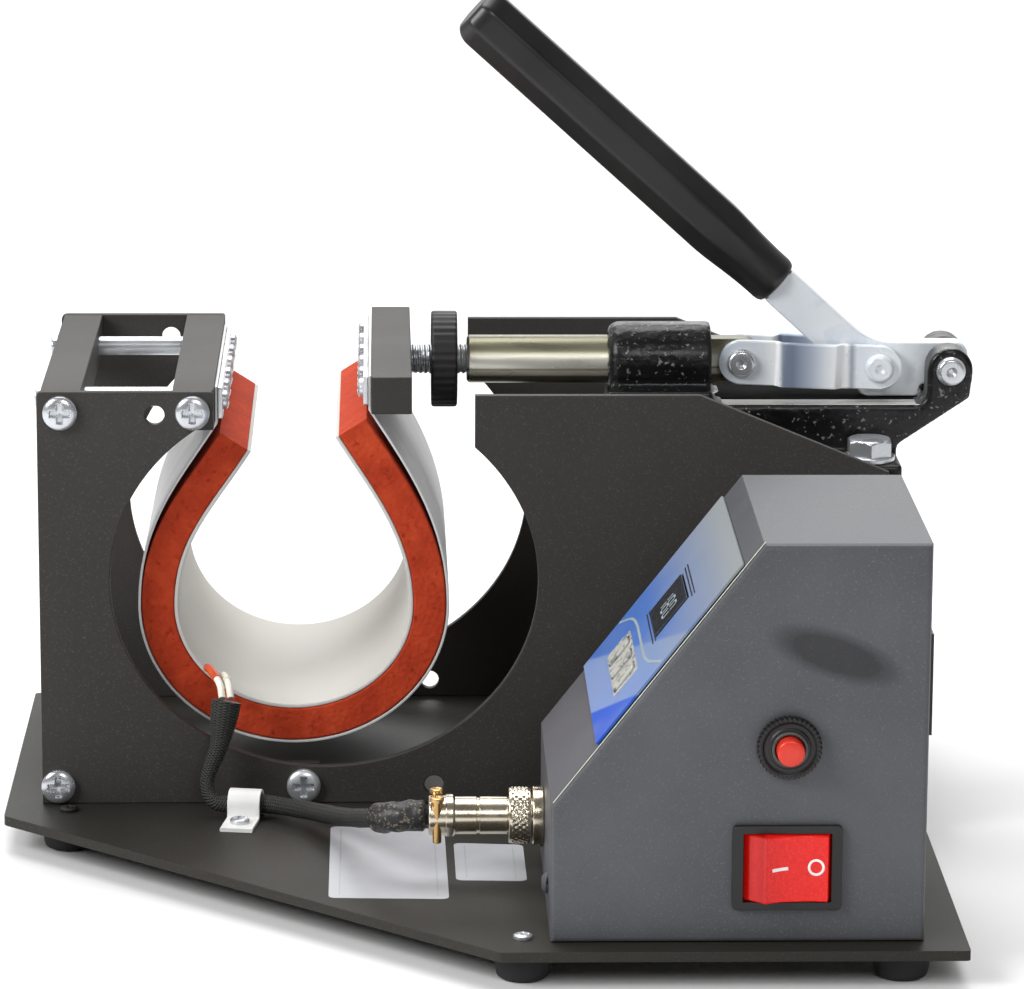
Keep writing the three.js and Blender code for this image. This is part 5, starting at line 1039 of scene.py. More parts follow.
def leverOutline(look):
    # Corners from the pivot: head, belly, arm, tang and back along the top.
    def directions(degrees):
        angle = math.radians(degrees)
        return np.array([-math.cos(angle), math.sin(angle)]), np.array([math.sin(angle), math.cos(angle)])
    armAlong, armAcross = directions(look["armTilt"])
    gripAlong, gripAcross = directions(look["gripTilt"])
    elbow = np.array(look["elbow"])
    wrist = elbow + armAlong * look["armLength"]
    tip = wrist + gripAlong * look["tangLength"]
    rise, width, fillet, tang = look["topRise"], look["armWidth"] / 2, look["fillet"], look["tangWidth"] / 2
    front, back, drop = -look["bellyFront"], -look["bellyBack"], -look["bellyDrop"]
    upper, lower = elbow + armAcross * width, elbow - armAcross * width
    meetTop = upper + armAlong * (rise - upper[1]) / armAlong[1]
    meetBelly = lower + armAlong * (drop / 2 - lower[1]) / armAlong[1]
    corners = [(rise, -rise, rise * 0.7), (front, -rise, fillet / 2), (front, drop, fillet * 0.6),
               (back, drop, fillet), (*meetBelly, fillet * 0.6), (*(wrist - armAcross * width), fillet / 2),
               (*(wrist - gripAcross * tang), 0), (*(tip - gripAcross * tang), fillet / 2),
               (*(tip + gripAcross * tang), fillet / 2), (*(wrist + gripAcross * tang), 0),
               (*(wrist + armAcross * width), fillet / 2), (*meetTop, fillet * 1.6),
               (rise, rise, rise * 0.7)]
    return roundedLine(corners, steps=8), wrist, gripAlong


leverLine, wrist, gripAlong = leverOutline(lever)
pivot = np.array(toggle["pivot"])
leverHole, leverT = pivot + circle(lever["holeRadius"], 28), lever["thickness"]
plate = acrossY(flatPlate(leverLine + pivot, [leverHole], leverT, lever["edge"]), -leverT / 2)
buildPiece("lever_bar", plate, "lever", leverZinc, "lever_plate")


def gripShell(look):
    # Grip: eight flats, r = R / cos(angle within a flat) with eased corners, its size set along the bar.
    length, rounding = look["gripLength"], look["rounding"]
    neck, shoulder = length * look["neckShare"], length - rounding
    along = np.concatenate([
        np.linspace(0, 3, 8)[:-1], np.linspace(3, neck + 6, 22)[:-1],
        np.linspace(neck + 6, shoulder, 16)[:-1],
        shoulder + rounding * np.sin(np.linspace(0, math.pi / 2, 12))])
    size = look["neckRadius"] + (look["gripRadius"] - look["neckRadius"]) * smoothStep(along, 4.0, neck + 3)
    size = size - 1.6 * (1 - np.sqrt(np.clip(1 - (1 - np.clip(along / 3, 0, 1)) ** 2, 0, 1)))
    fall = np.clip((along - shoulder) / rounding, 0, 1)
    size = size * (0.62 + 0.38 * np.sqrt(np.clip(1 - fall ** 2, 0, 1)))
    angle = np.arange(96) * 2 * np.pi / 96
    within = (angle + np.pi / 8) % (np.pi / 4) - np.pi / 8
    shape = np.minimum(np.cos(np.pi / 8) / np.cos(within), 0.985)
    blend = smoothStep(along, 3.0, neck)[:, None]
    reach = size[:, None] * (blend * shape[None, :] + (1 - blend) * 0.975)
    across, aside = reach * np.cos(angle), reach * np.sin(angle) * look["flatShare"]
    direction = np.array([gripAlong[0], 0.0, gripAlong[1]])
    upward = np.array([gripAlong[1], 0.0, -gripAlong[0]])
    start = np.array([pivot[0] + wrist[0], 0.0, pivot[1] + wrist[1]]) + direction * 0.3
    return tubeShell(start + along[:, None, None] * direction + across[..., None] * upward
                     + aside[..., None] * np.array([0.0, 1.0, 0.0]))


buildPiece("hand_grip", gripShell(lever), "lever", gripRubber, "lever_grip", angle=22.0)
print("heat press: toggle and lever")

# Control box
control = {
    "left": 74.4, "front": -202.5, "width": 105.7, "depth": 89.0, "height": 115.5, "sill": 40.0,
    "roof": 47.0, "edge": 0.4, "darkPatchCentre": (153.4, -202.5, 83.8), "darkPatchHalf": (22.0, 20.0, 7.6),
    "darkPatchLean": 19.0, "darkPatchShare": 0.9, "darkPatchTone": tone(142, 143, 144), "darkPatchFade": (0.04, 0.44),
}
slopeRise, slopeRun = control["height"] - control["sill"], control["width"] - control["roof"]
slopeAngle, slopeLength = math.atan2(slopeRise, slopeRun), math.hypot(slopeRise, slopeRun)
boxFront, mid = control["front"], control["depth"] / 2


def addDarkPatch(material, look):
    # A soft dark patch: one less the distance from its centre, measured in its own half sizes.
    tree, place, mix = multiplied(material)
    mapping = addNode(tree, "ShaderNodeMapping", vector_type="TEXTURE")
    mapping.inputs["Location"].default_value = tuple(toFrame(look["darkPatchCentre"]))
    mapping.inputs["Rotation"].default_value = (0.0, math.radians(look["darkPatchLean"]), 0.0)
    mapping.inputs["Scale"].default_value = [value * millimetre for value in look["darkPatchHalf"]]
    joinNodes(tree, place, "Object", mapping, "Vector")
    patch = addNode(tree, "ShaderNodeTexGradient", gradient_type="SPHERICAL")
    joinNodes(tree, mapping, "Vector", patch, "Vector")
    mix.inputs["B"].default_value = look["darkPatchTone"]
    share = spread(tree, patch, "Fac", 0.0, look["darkPatchShare"], *look["darkPatchFade"])
    joinNodes(tree, share, "Result", mix, "Factor")


# A soft dark ellipse darkens the box cover's front face.
addDarkPatch(boxPowder, control)
softened("box_cover", "cover", "frame", boxPowder, control["edge"])
for node, material in (("box_tray", powder), ("controller_board", boardGreen), ("transformer", laminations),
                       ("power_sink", sinkMetal)):
    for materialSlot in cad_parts[node].material_slots:
        materialSlot.material = material


def onSlope(shell, lift=0.0, back=0.0):
    # A shell drawn flat, X up the slope from the sill and Y to the back, laid on the slope.
    along, depth, above = (shell["points"] + np.array([0, back, lift])).T
    cos, sin = math.cos(slopeAngle), math.sin(slopeAngle)
    x, z = along * cos - above * sin, along * sin + above * cos
    points = np.stack([control["left"] + x, control["front"] + depth, control["sill"] + z], axis=1)
    return {**shell, "points": points}


panel = {
    "start": 21.6, "length": 65.7, "thickness": 0.8, "margin": 2.8, "lift": 0.3, "ink": 0.06,
    "displayCentre": 58.6, "displayLength": 15.0, "displayWidth": 28.0, "displayDepth": 6.0,
    "windowRise": 0.5, "keyCentre": 36.6, "keySize": 9.0, "keySpacing": 14.0, "keyRise": 0.9,
    "keyCorner": 2.0, "keyDepth": 3.0, "midBlue": tone(40, 92, 172), "clearBlue": tone(74, 108, 172),
    "paleBlue": tone(104, 130, 178), "deepBlue": tone(0, 78, 188), "haze": tone(112, 136, 186),
    "silver": tone(140, 145, 148), "fieldUp": (0.15, 0.315), "fieldDepth": (0.245, 0.755),
    "windowLines": (0.428, 0.446, 0.698, 0.716),
    "curve": [(0.262, 0.985, 0), (0.345, 0.86, 8), (0.362, 0.72, 6), (0.362, 0.28, 8), (0.378, 0.185, 6),
              (0.45, 0.02, 0)],
}
panelDepth = control["depth"] - 2 * panel["margin"]


def panelFilm(look):
    # Printed film: bands of blue cut by two slanting lines, fading to silver up the slope.
    material, tree, shader, place = newMaterial("panelFilm")
    parts = addNode(tree, "ShaderNodeSeparateXYZ")
    joinNodes(tree, place, "UV", parts, "Vector")
    up = spread(tree, parts, "X", 0.0, 1.0, look["start"], look["start"] + look["length"])
    depth = spread(tree, parts, "Y", 0.0, 1.0, look["margin"], look["margin"] + panelDepth)

    def slant(offset, lean, soft):
        lower = addNode(tree, "ShaderNodeMath", operation="MULTIPLY_ADD")
        lower.inputs[1].default_value, lower.inputs[2].default_value = lean, -offset
        joinNodes(tree, up, "Result", lower, 0)
        total = addNode(tree, "ShaderNodeMath", operation="ADD")
        joinNodes(tree, lower, "Value", total, 0)
        joinNodes(tree, depth, "Result", total, 1)
        return spread(tree, total, "Value", 0.0, 1.0, -soft, soft)

    def mixed(first, second, factor):
        node = addNode(tree, "ShaderNodeMix", data_type="RGBA")
        for key, value in (("A", first), ("B", second)):
            if isinstance(value, tuple):
                node.inputs[key].default_value = value
            else:
                tree.links.new(value, node.inputs[key])
        joinNodes(tree, factor, "Result", node, "Factor")
        return node.outputs["Result"]

    silver = look["silver"]
    rise = ramp(tree, up, "Result", [(0.1, look["midBlue"]), (0.45, look["clearBlue"]), (0.95, silver)])
    pale = ramp(tree, up, "Result", [(0.0, look["haze"]), (0.35, look["paleBlue"]), (0.8, silver)])
    colour = mixed(pale.outputs["Color"], rise.outputs["Color"], slant(1.06, 1.7, 0.02))
    colour = mixed(look["deepBlue"], colour, slant(0.378, 1.4, 0.015))
    cloud = addNode(tree, "ShaderNodeTexNoise")
    cloud.inputs["Scale"].default_value = 0.05
    joinNodes(tree, place, "UV", cloud, "Vector")
    colour = mixed(colour, silver, spread(tree, cloud, "Fac", 0.0, 0.25, 0.4, 0.75))
    tree.links.new(colour, shader.inputs["Base Color"])
    joinNodes(tree, spread(tree, cloud, "Fac", 0.26, 0.36), "Result", shader, "Roughness")
    shader.inputs["Specular IOR Level"].default_value = 0.2
    return material


def aroundLine(centreX, centreY, sizeX, sizeY, grown, radius):
    # A rectangle about a centre, made larger by so much on every side.
    halfX, halfY = sizeX / 2 + grown, sizeY / 2 + grown
    return rectangleLine(centreX - halfX, centreX + halfX, centreY - halfY, centreY + halfY, radius)


def windowLine(grown, radius=0.0):
    length, breadth = panel["displayLength"], panel["displayWidth"]
    return aroundLine(panel["displayCentre"], mid, length, breadth, grown, radius)


def keyLine(y, grown):
    return aroundLine(panel["keyCentre"], y, panel["keySize"], panel["keySize"], grown, panel["keyCorner"])


filmTop = panel["lift"] + panel["thickness"]
keyYs = [mid + place * panel["keySpacing"] for place in (1, 0, -1)]
filmLine = rectangleLine(panel["start"], panel["start"] + panel["length"], panel["margin"],
                         panel["margin"] + panelDepth, 0.4)
filmHoles = [windowLine(0.1), *[keyLine(y, 0.3) for y in keyYs]]
film = onSlope(flatPlate(filmLine, filmHoles, panel["thickness"], 0.12, 1), panel["lift"])
buildPiece("panel_film", film, "frame", panelFilm(panel), "display_panel")
depth = panel["displayDepth"]
window = flatPlate(windowLine(-0.3, 0.5), [], depth + filmTop + panel["windowRise"], 0.25, 1)
window = onSlope(window, -depth)
buildPiece("display_window", window, "frame", windowDark, "display_module")
depth = panel["keyDepth"]
for index, y in enumerate(keyYs, 1):
    key = onSlope(flatPlate(keyLine(y, 0.0), [], depth + filmTop + panel["keyRise"], 0.5, 2), -depth)
    buildPiece(f"key_cap_{index}", key, f"key_{index}", keyPale, f"panel_key_{index}")


def printLine(points, width, rise=filmTop):
    # A printed line: a thin plate whose outline is the line's points moved half a width to each side.
    points = np.asarray(points, float)
    along = unit(np.gradient(points, axis=0))
    across = np.stack([-along[:, 1], along[:, 0]], axis=1) * width / 2
    line = np.concatenate([points + across, (points - across)[::-1]])
    return onSlope(flatPlate(line, [], panel["ink"]), rise)


def filmPlace(up, depth):
    # A place on the film by its shares up the slope and to the back.
    return panel["start"] + up * panel["length"], panel["margin"] + depth * panelDepth


frameLines = [printLine([filmPlace(up, 0.30), filmPlace(up, 0.70)], 0.5) for up in panel["windowLines"]]
buildPiece("window_lines", frameLines, "frame", inkBlack, weighted=False)
curve = [(*filmPlace(up, depth), radius) for up, depth, radius in panel["curve"]]
curve = printLine(roundedLine(curve, closed=False, steps=8), 0.9)
buildPiece("film_curve", curve, "frame", inkGrey, weighted=False)
# The display's number: seven strokes, each from one corner to another in shares of a digit's box
digits = {
    "shown": "180", "height": 6.2, "width": 3.3, "pitch": 5.6, "stroke": 0.65, "gap": 0.08, "rise": 1.6,
    "strokes": {"a": (0, 1, 1, 1), "b": (1, 0.5, 1, 1), "c": (1, 0, 1, 0.5), "d": (0, 0, 1, 0),
                "e": (0, 0, 0, 0.5), "f": (0, 0.5, 0, 1), "g": (0, 0.5, 1, 0.5)},
    "lit": {"0": "abcdef", "1": "bc", "8": "abcdefg"},
}
shells = []
for index, digit in enumerate(digits["shown"]):
    offset = (index - (len(digits["shown"]) - 1) / 2) * digits["pitch"]
    for stroke in digits["lit"][digit]:
        ends = np.array(digits["strokes"][stroke], float).reshape(2, 2)
        ends += (ends.mean(axis=0) - ends) * digits["gap"] * 2
        up = panel["displayCentre"] + (ends[:, 1] - 0.5) * digits["height"]
        aside = mid - offset - (ends[:, 0] - 0.5) * digits["width"]
        shells.append(printLine(np.stack([up, aside], axis=1), digits["stroke"], digits["rise"]))
buildPiece("window_digits", shells, "frame", inkGrey, weighted=False)
(x0, y0), (x1, y1) = (filmPlace(*share) for share in zip(panel["fieldUp"], panel["fieldDepth"]))
field = flatPlate(rectangleLine(x0, x1, y0, y1, 1.0), [keyLine(y, 0.35) for y in keyYs], panel["ink"])
buildPiece("key_field", onSlope(field, filmTop), "frame", keyPale, weighted=False)
seam = flatPlate(rectangleLine(1.0, slopeLength + 0.5, 0.35, 0.85), [], 0.12)
buildPiece("cover_seam", onSlope(seam, back=0.9), "frame", inkCream, weighted=False)
print("heat press: control box and panel")

# Rocker switch and reset breaker
switch = {
    "x": 140.8, "z": 22.5, "seat": 1.2, "radius": 12.1, "height": 19.4, "rise": 4.2, "tilt": 7.0,
    "skirt": -12.0, "keelHalf": 6.0, "keel": 4.0, "ridge": 7.0, "dish": 0.45, "dash": (0.06, 0.72),
    "ringAt": (-0.7, 0.5), "ringHalf": (0.185, 2.1), "markRise": 0.05,
    "bands": [(0.0, 150, 120, 120), (0.12, 214, 190, 190), (0.2, 184, 150, 150), (0.24, 226, 220, 220),
              (0.27, 255, 255, 255), (1.0, 250, 240, 240)],
}
softened("rocker_bezel", "bezel", "frame", blackPlastic, 0.35)


def rockerTop(look, raised):
    # Outer end of one face: on the round wall, or drawn in to the ridge on the raised side.
    radius = look["radius"]
    topAngle = math.asin((look["rise"] + radius * math.sin(math.radians(look["tilt"]))) / radius)
    reach = look["ridge"] if raised else radius * math.cos(topAngle)
    return np.array([reach, radius * math.sin(topAngle)]), 0.0 if raised else topAngle


def rockerFace(look, raised, share):
    # The hollow face from the middle, share 0, out to its end, share 1.
    middle = np.array([0.0, look["rise"]])
    dish = look["dish"] * np.sin(np.pi * share) * np.array([0.0, 1.0])
    return middle + (rockerTop(look, raised)[0] - middle) * share - dish


def rockerHalf(look, raised):
    # The face and then the wall: straight off the ridge or round the pivot.
    arc = np.linspace(rockerTop(look, raised)[1], math.radians(look["skirt"]), 12)
    wall = look["radius"] * np.stack([np.cos(arc), np.sin(arc)], axis=1)
    face = rockerFace(look, raised, np.linspace(0, 1, 14)[:, None])
    return np.concatenate([face, wall[0 if raised else 1:], [(look["keelHalf"], -look["keel"])]])


def rockerPlaces(look, points):
    # Points drawn about the rocker's pivot, turned and stood at the switch.
    points = np.asarray(points, float)
    points[:, :2] = points[:, :2] @ spinMatrix(180 + look["tilt"])
    return points + np.array([look["x"], boxFront + look["seat"], look["z"]])


def rockerMark(look, share, sideways):
    # A place on the rocker's face: share runs from the hinge line to an end, sideways is along Z.
    x, y = rockerFace(look, share > 0, abs(share)) + (0, look["markRise"])
    return math.copysign(1.0, share) * x, y, sideways


# The rocker's colour bands along X are painted shade: the raised left end is darker, with a paler line across
# it, and the face keeps its full colour.
banded(rockerRed, "X", switch["x"], switch["radius"], switch["bands"])
capLine = np.concatenate([rockerHalf(switch, False) * (-1, 1), rockerHalf(switch, True)[::-1][:-1]])
cap = lifted(flatPlate(capLine, [], switch["height"], 0.5, 2), -switch["height"] / 2)
cap["points"] = rockerPlaces(switch, cap["points"])
buildPiece("rocker_cap", cap, "rocker", rockerRed, "power_rocker", angle=40.0)
dash = [rockerMark(switch, share, 0.35 - 0.5 * share) for share in np.linspace(*switch["dash"], 12)]
(ringShare, ringAside), (halfShare, halfAside) = switch["ringAt"], switch["ringHalf"]
ring = [rockerMark(switch, ringShare + halfShare * math.cos(a), ringAside + halfAside * math.sin(a))
        for a in np.linspace(0, 2 * np.pi, 41)]
marks = [sweep([(-half, 0), (0, 0.12), (half, 0), (0, -0.12)], rockerPlaces(switch, line), (0, -1, 0))
         for half, line in ((0.48, dash), (0.36, ring))]
buildPiece("rocker_marks", marks, "rocker", inkWhite, weighted=False)

breaker = {
    "x": 140.8, "z": 57.6, "nutRadius": 9.2, "nutThickness": 3.0, "teeth": 40, "depth": 0.55, "bush": 5.2,
    "bushRise": 1.2, "button": 3.9, "buttonRise": 4.2, "bodyRadius": 7.0, "bodyDepth": 22.0, "well": 10.3,
    "seat": 1.3, "gap": 0.3, "buttonRoot": 8.0,
}
nutR, nutT, bushR, bodyR, buttonR = (
    breaker[key] for key in ("nutRadius", "nutThickness", "bush", "bodyRadius", "button"))
nose, bodyBack = breaker["bushRise"] + nutT, -breaker["bodyDepth"]
buttonTop, wellR, nutBore = nose + breaker["buttonRise"], buttonR + breaker["gap"], bushR + 0.05
rim = knurl(breaker["teeth"], breaker["depth"], nutR * 0.9)
nut = turned([(nutBore, 0.1), (nutR, 0.1, 0.5), (nutR, nutT, 0.7), (nutR * 0.84, nutT, 0.4),
              (nutR * 0.78, nutT - 0.5, 0.4), (nutR * 0.66, nutT - 0.5, 0.3), (nutR * 0.62, nutT, 0.3),
              (nutBore, nutT), (nutBore, 0.1)], 160, 3, rim)
wellZ, seatZ, rootZ = (-breaker[key] for key in ("well", "seat", "buttonRoot"))
bush = turned([(0, wellZ), (wellR, wellZ), (wellR, nose, 0.3), (bushR, nose, 0.5), (bushR, seatZ),
               (bodyR, seatZ, 0.5), (bodyR, bodyBack, 0.6), (0, bodyBack)], 56)
button = turned([(0, rootZ), (buttonR, rootZ), (buttonR, buttonTop - 0.3, 1.3),
                 (buttonR * 0.6, buttonTop, 1.2), (0, buttonTop)], 48, 6)
for name, shell, body, material, slotName, node, angle in (
        ("breaker_ring", nut, "frame", blackPlastic, "black_plastic", "breaker_nut", 35.0),
        ("breaker_bush", bush, "frame", bushGrey, "grey_bush", "breaker_body", 35.0),
        ("reset_button", button, "reset", redPlastic, "red_plastic", "breaker_button", 60.0)):
    shell = placed(shell, (breaker["x"], boxFront, breaker["z"]), (0, -1, 0))
    buildPiece(name, shell, body, material, node, angle)
softened("mains_inlet", "inlet", "frame", blackPlastic, 0.4)
print("heat press: switch, breaker and inlet")

# Heater connector on the left wall of the box, its lengths counted along X
plug = {
    "y": -143.5, "z": 20.0, "wall": 74.4, "flange": 8.6, "flangeT": 3.4, "neck": 5.0, "neckLength": 9.0,
    "tail": 6.0, "tailLength": 10.0, "ring": 8.4, "ringLength": 6.6, "barrel": 5.5, "barrelLength": 18.4,
    "groove": 0.35, "grooveAt": 9.0, "collar": 6.2, "collarLength": 2.4, "saddle": 5.9,
    "saddleLength": 5.0, "sleeveBore": 3.4, "seat": 0.1, "gap": 0.3, "screwRadius": 1.3,
    "screwLength": 13.0, "screwDrop": 7.0, "headRise": 5.6, "diamonds": 30, "diamondDepth": 0.35,
    "diamondLean": 1.4,
}
wall, seat, gap, bore = (plug[key] for key in ("wall", "seat", "gap", "sleeveBore"))
neckR, flangeR, tailR, ringR, barrelR, collarR, saddleR = (
    plug[key] for key in ("neck", "flange", "tail", "ring", "barrel", "collar", "saddle"))
flangeLeft = wall - plug["flangeT"] - seat
neckLeft, tailRight = flangeLeft - plug["neckLength"], wall + 1.2 + plug["tailLength"]
ringRight = flangeLeft - gap
ringLeft = ringRight - plug["ringLength"]
barrelLeft = ringLeft - plug["barrelLength"]
saddleLeft, collarRight = barrelLeft - plug["saddleLength"], barrelLeft + plug["collarLength"]
plugAt = (0.0, plug["y"], plug["z"])
socket = turned([
    (0, neckLeft), (neckR, neckLeft, 0.3), (neckR, flangeLeft), (flangeR, flangeLeft, 0.6),
    (flangeR, wall - seat, 0.4), (neckR, wall - seat), (neckR, wall + 1.3), (tailR, wall + 1.3),
    (tailR, tailRight, 0.5), (0, tailRight)], 56)
buildPiece("box_socket", placed(socket, plugAt, alongX), "frame", nickel, "panel_socket")
knurled = np.stack([np.full(15, ringR), np.linspace(ringLeft + 1.1, ringRight - 1.1, 15)], axis=1)
ringBore = neckR + 0.35
ringLine = np.concatenate([
    roundedLine([(ringBore, ringLeft), (ringR - 0.3, ringLeft, 0.4), (ringR - 0.25, ringLeft + 0.9, 0.3)],
                closed=False, steps=3), knurled,
    roundedLine([(ringR - 0.25, ringRight - 0.9, 0.3), (ringR - 0.3, ringRight, 0.4), (ringBore, ringRight),
                 (ringBore, ringLeft)], closed=False, steps=3)])
diamonds = diamondKnurl(plug["diamonds"], plug["diamondDepth"], ringR - 0.1, plug["diamondLean"])
nut = placed(lathe(ringLine, 144, diamonds), plugAt, alongX)
buildPiece("coupling_nut", nut, "coupling_ring", nickel, "plug_ring", angle=50.0)
neckEnd = ringLeft - gap
barrelEnd = min(neckEnd, neckLeft - gap)
grooveR, grooveLeft, saddleRight = barrelR - plug["groove"], barrelLeft + plug["grooveAt"], barrelLeft + 0.2
barrel = turned([
    (0, barrelLeft), (collarR, barrelLeft, 0.4), (collarR, collarRight, 0.4),
    (barrelR, collarRight + 0.3, 0.2), (barrelR, grooveLeft), (grooveR, grooveLeft + 0.2),
    (grooveR, grooveLeft + 0.9), (barrelR, grooveLeft + 1.1), (barrelR, neckEnd, 0.5), (neckR, neckEnd),
    (neckR, barrelEnd), (0, barrelEnd)], 64)
saddle = turned([(bore, saddleLeft), (saddleR, saddleLeft, 0.7), (saddleR, saddleRight),
                 (bore, saddleRight), (bore, saddleLeft)], 48, 4)
shells = [placed(shell, plugAt, alongX) for shell in (barrel, saddle)]
buildPiece("plug_shell", shells, "frame", nickel, "plug_body")
shells, screwX, screwR = [], saddleLeft + plug["saddleLength"] / 2, plug["screwRadius"]
for side in (-1, 1):
    at = np.array([screwX, plug["y"] + side * (saddleR - screwR), plug["z"]])
    shank = rodShell(screwR, plug["screwLength"], 0.3, 24)
    shells.append(placed(shank, at - (0, 0, plug["screwDrop"])))
    shells.append(panHead("saddle", at + (0, 0, plug["headRise"])))
buildPiece("saddle_screws", shells, "frame", brass)
print("heat press: heater connector")

# Heater lead: two wires, the braided sleeve, its cuff and its clip
lead = {
    "route": [(-20.5, -68.5, 34), (-22.5, -71, 22), (-26.5, -75.5, 9.5), (-24, -78, 4.8), (-19, -78.5, 4.3),
              (-10, -78.5, 4.3), (2, -86, 4.8), (14, -106, 8.5), (22, -128, 14.5)],
    "lastSteps": [(-16, 1.5, -1), (-8, 0, 0), (0, 0, 0)], "sleeveRadius": 2.8, "cuffRadius": 4.7,
    "cuffLength": 17.0, "spacing": 0.8, "lengthEach": 0.12,
    "fullness": [(0, 1.62), (4, 1.5), (12, 1.12), (20, 0.86), (28, 0.74), (36, 0.9), (44, 1.0), (200, 1.0)],
    "reference": (0.3, 0.9, 0.3), "wireRadius": 1.1, "wireReference": (0.9, 0.1, 0.2), "tubeShare": 0.62,
}


def easedCurve(points, stepsEach):
    # Centripetal curve through points: each span a cubic whose end slopes look at both neighbours.
    points = np.asarray(points, float)
    first, last = 2 * points[0] - points[1], 2 * points[-1] - points[-2]
    points = np.concatenate([[first], points, [last]])
    share = np.linspace(0, 1, stepsEach, endpoint=False)[:, None]
    spans = []
    for p0, p1, p2, p3 in zip(points, points[1:], points[2:], points[3:]):
        d0, d1, d2 = (math.sqrt(np.linalg.norm(b - a)) for a, b in ((p0, p1), (p1, p2), (p2, p3)))
        t1 = ((p1 - p0) / d0 - (p2 - p0) / (d0 + d1) + (p2 - p1) / d1) * d1
        t2 = ((p2 - p1) / d1 - (p3 - p1) / (d1 + d2) + (p3 - p2) / d2) * d1
        spans.append(p1 + t1 * share + (3 * (p2 - p1) - 2 * t1 - t2) * share ** 2
                     + (2 * (p1 - p2) + t1 + t2) * share ** 3)
    return np.concatenate([*spans, points[-2:-1]])


def evenSteps(path, spacing):
    # The path again with points at even distances.
    lengths = np.concatenate([[0], np.cumsum(np.linalg.norm(np.diff(path, axis=0), axis=1))])
    wanted = np.linspace(0, lengths[-1], int(lengths[-1] / spacing) + 1)
    return np.stack([np.interp(wanted, lengths, path[:, axis]) for axis in range(3)], axis=1)


spacing, lengthEach, reference = lead["spacing"], lead["lengthEach"], lead["reference"]
leadEnd = np.array([saddleLeft + plug["saddleLength"] - gap, plug["y"], plug["z"]])
route = [*lead["route"], *(leadEnd + step for step in lead["lastSteps"])]
leadPath = evenSteps(easedCurve(route, 24), spacing)
columns, rows = 20, len(leadPath)
angle = np.arange(columns) * 2 * np.pi / columns
travel = np.arange(rows)[:, None] * spacing
# The sleeve's size: crossed strands, a slow sway, and its fullness by the distance from the mouth
weave = (1 + 0.022 * np.sin(5 * angle + travel * 1.5) * np.sin(5 * angle - travel * 1.5)
         + 0.03 * np.sin(travel * 0.31) * np.sin(travel * 0.13 + 1))
weave = weave * np.interp(travel[:, 0], *np.array(lead["fullness"], float).T)[:, None]
sleeve = sweep(circle(lead["sleeveRadius"], columns), leadPath, reference, weave, lengthEach)
buildPiece("sleeve", sleeve, "frame", braid, "lead_sleeve", angle=60.0, weighted=False)
cuffSteps = int(lead["cuffLength"] / spacing)
cuffStart = rows - int(plug["saddleLength"] / spacing) - 1 - cuffSteps
share = np.linspace(0, 1, cuffSteps)[:, None]
# The cuff's size: drawn in at both ends, and creased round and along
mouth = np.sqrt(np.clip(1 - (1 - np.clip(np.minimum(share, 1 - share) / 0.06, 0, 1)) ** 2, 0, 1))
angle = np.arange(28) * 2 * np.pi / 28
crease = (1 + 0.05 * np.sin(2 * angle + share * 9) * np.sin(share * 14)
          + 0.03 * np.sin(3 * angle - share * 17))
cuff = sweep(circle(lead["cuffRadius"], 28), leadPath[cuffStart:cuffStart + cuffSteps], reference,
             (0.82 + 0.18 * mouth) * crease * 0.97, lengthEach)
buildPiece("sleeve_cuff", cuff, "frame", shrink, angle=60.0, weighted=False)

mouthX, mouthY, mouthZ = leadPath[0]
wireR, wireFace = lead["wireRadius"], -heater["width"] / 2 - 0.3
for name, side, node, tubing in (("red", -1, "upper_wire", orangeSleeve),
                                 ("pale", 1, "lower_wire", whiteWire)):
    wirePath = evenSteps(easedCurve([
        (mouthX - 4 + side * 2.4, wireFace, mouthZ + 4.5 - side * 1.4),
        (mouthX - 3 + side * 2, wireFace - 6, mouthZ + 5.5 - side),
        (mouthX - 0.6 + side * 1.3, mouthY + 3, mouthZ + 4),
        (mouthX + side * wireR * 1.2, mouthY, mouthZ + 0.9)], 16), 0.5)
    wire = sweep(circle(wireR, 14), wirePath, lead["wireReference"])
    buildPiece(f"{name}_wire", wire, "frame", whiteWire, node, angle=60.0, weighted=False)
    tubePath = wirePath[2:int(len(wirePath) * lead["tubeShare"])]
    tube = sweep(circle(wireR * 1.22, 16), tubePath, lead["wireReference"])
    buildPiece(f"{name}_wire_tube", tube, "frame", tubing, angle=60.0, weighted=False)

clip = {"x": -14.5, "y": -78.5, "inner": 3.3, "lean": -9.0, "width": 10.0, "thickness": 1.2, "flat": 12.0,
        "seat": 0.1, "screwFromMiddle": 10.0}


def clipShell(look):
    # P-clip: a strap that runs flat, up and over the sleeve and down behind it.
    inner, thick, y = look["inner"], look["thickness"], look["y"]
    middle, centreZ, flatZ = inner + thick / 2, inner + thick, look["seat"] + thick / 2
    over = np.linspace(math.pi, 0, 28)
    end = y - inner - thick - look["flat"]
    line = np.concatenate([
        roundedLine([(end, flatZ), (y - middle, flatZ, 1.2), (y - middle, centreZ)], closed=False, steps=5),
        np.stack([y + middle * np.cos(over), centreZ + middle * np.sin(over)], axis=1)[1:],
        [(y + middle, 0.2)]])
    path = np.stack([np.full(len(line), look["x"]), line[:, 0], line[:, 1]], axis=1)
    section = rectangleLine(-look["width"] / 2, look["width"] / 2, -thick / 2, thick / 2, 0.3, 2)
    upward = np.cross((1.0, 0.0, 0.0), unit(np.gradient(path, axis=0)))
    points = (path[:, None, :] + section[None, :, :1] * np.array([1.0, 0.0, 0.0])
              + section[None, :, 1:] * upward[:, None, :])
    at = np.array([look["x"], look["y"]])
    points[..., :2] = (points[..., :2] - at) @ spinMatrix(look["lean"]) + at
    return tubeShell(points)


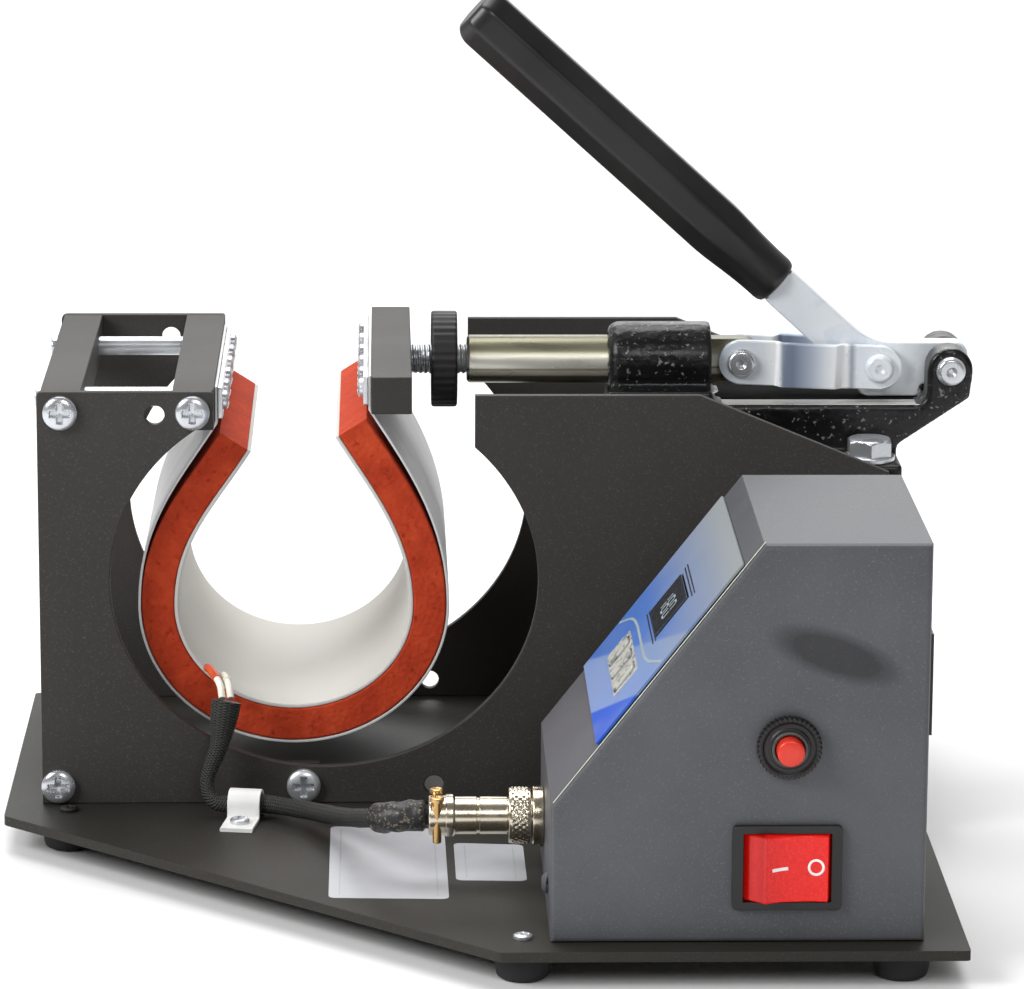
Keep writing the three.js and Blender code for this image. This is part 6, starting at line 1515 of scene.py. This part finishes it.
buildPiece("p_clip", clipShell(clip), "frame", nylon, "lead_clip", angle=40.0)
screwX = clip["x"] + clip["screwFromMiddle"] * math.sin(math.radians(clip["lean"]))
screwAt = (screwX, clip["y"] - clip["screwFromMiddle"], clip["seat"] + clip["thickness"])
buildPiece("clip_screw", panHead("clip", screwAt), "frame", zinc)
print("heat press: lead")

# Floor and soft studio light
studio = {
    "floorSize": 8.0, "floorDrop": 0.0002, "target": (0.0, 0.0, 0.1),
    "worldTones": [(0.0, 88, 86, 84), (0.42, 124, 123, 122), (0.62, 202, 202, 202), (0.93, 214, 214, 214),
                   (0.96, 255, 255, 255)],
    "lights": [
        {"name": "keyLight", "place": (-1.4, -0.9, 1.2), "size": 0.9, "power": 31.0},
        {"name": "fillLight", "place": (0.3, -1.5, 1.0), "size": 0.5, "power": 6.0},
        {"name": "topLight", "place": (-0.1, 0.6, 1.8), "size": 1.3, "power": 26.0},
        {"name": "floorLight", "place": (0.0, 3.4, 1.7), "size": 2.4, "power": 60.0,
         "aim": (0.0, 3.4, 0.0)},
    ],
}


def addStudio(look):
    mesh = bpy.data.meshes.new("floor")
    half, height = look["floorSize"] / 2, float(cadBounds[0][2]) - look["floorDrop"]
    corners = [(x * half, y * half, height) for x, y in ((-1, -1), (1, -1), (1, 1), (-1, 1))]
    mesh.from_pydata(corners, [], [(0, 1, 2, 3)])
    floor = bpy.data.objects.new("floor", mesh)
    scene.collection.objects.link(floor)
    paleFloor = finish("paleFloor", [(236, 236, 236), (240, 240, 240)], pattern(2.0), (0.55, 0.65))
    mesh.materials.append(paleFloor)
    world = bpy.data.worlds.new("studio")
    world.use_nodes = True
    tree = world.node_tree
    background = tree.nodes["Background"]
    background.inputs["Strength"].default_value = 1.0
    # The room's light by direction: dim in front of the object, white behind it
    direction = addNode(tree, "ShaderNodeTexCoord")
    parts = addNode(tree, "ShaderNodeSeparateXYZ")
    joinNodes(tree, direction, "Generated", parts, "Vector")
    share = spread(tree, parts, "Y", 0.0, 1.0, -1.0, 1.0)
    joinNodes(tree, ramp(tree, share, "Result", toned(*look["worldTones"])), "Color", background, "Color")
    scene.world = world
    for light in look["lights"]:
        data = bpy.data.lights.new(light["name"], "AREA")
        data.shape, data.size, data.energy = "SQUARE", light["size"], light["power"]
        away = np.array(light["place"]) - light.get("aim", look["target"])
        stand(light["name"], data, turnedBasis(away), light["place"])


addStudio(studio)
scene.view_settings.view_transform = "Standard"
print("heat press: studio")
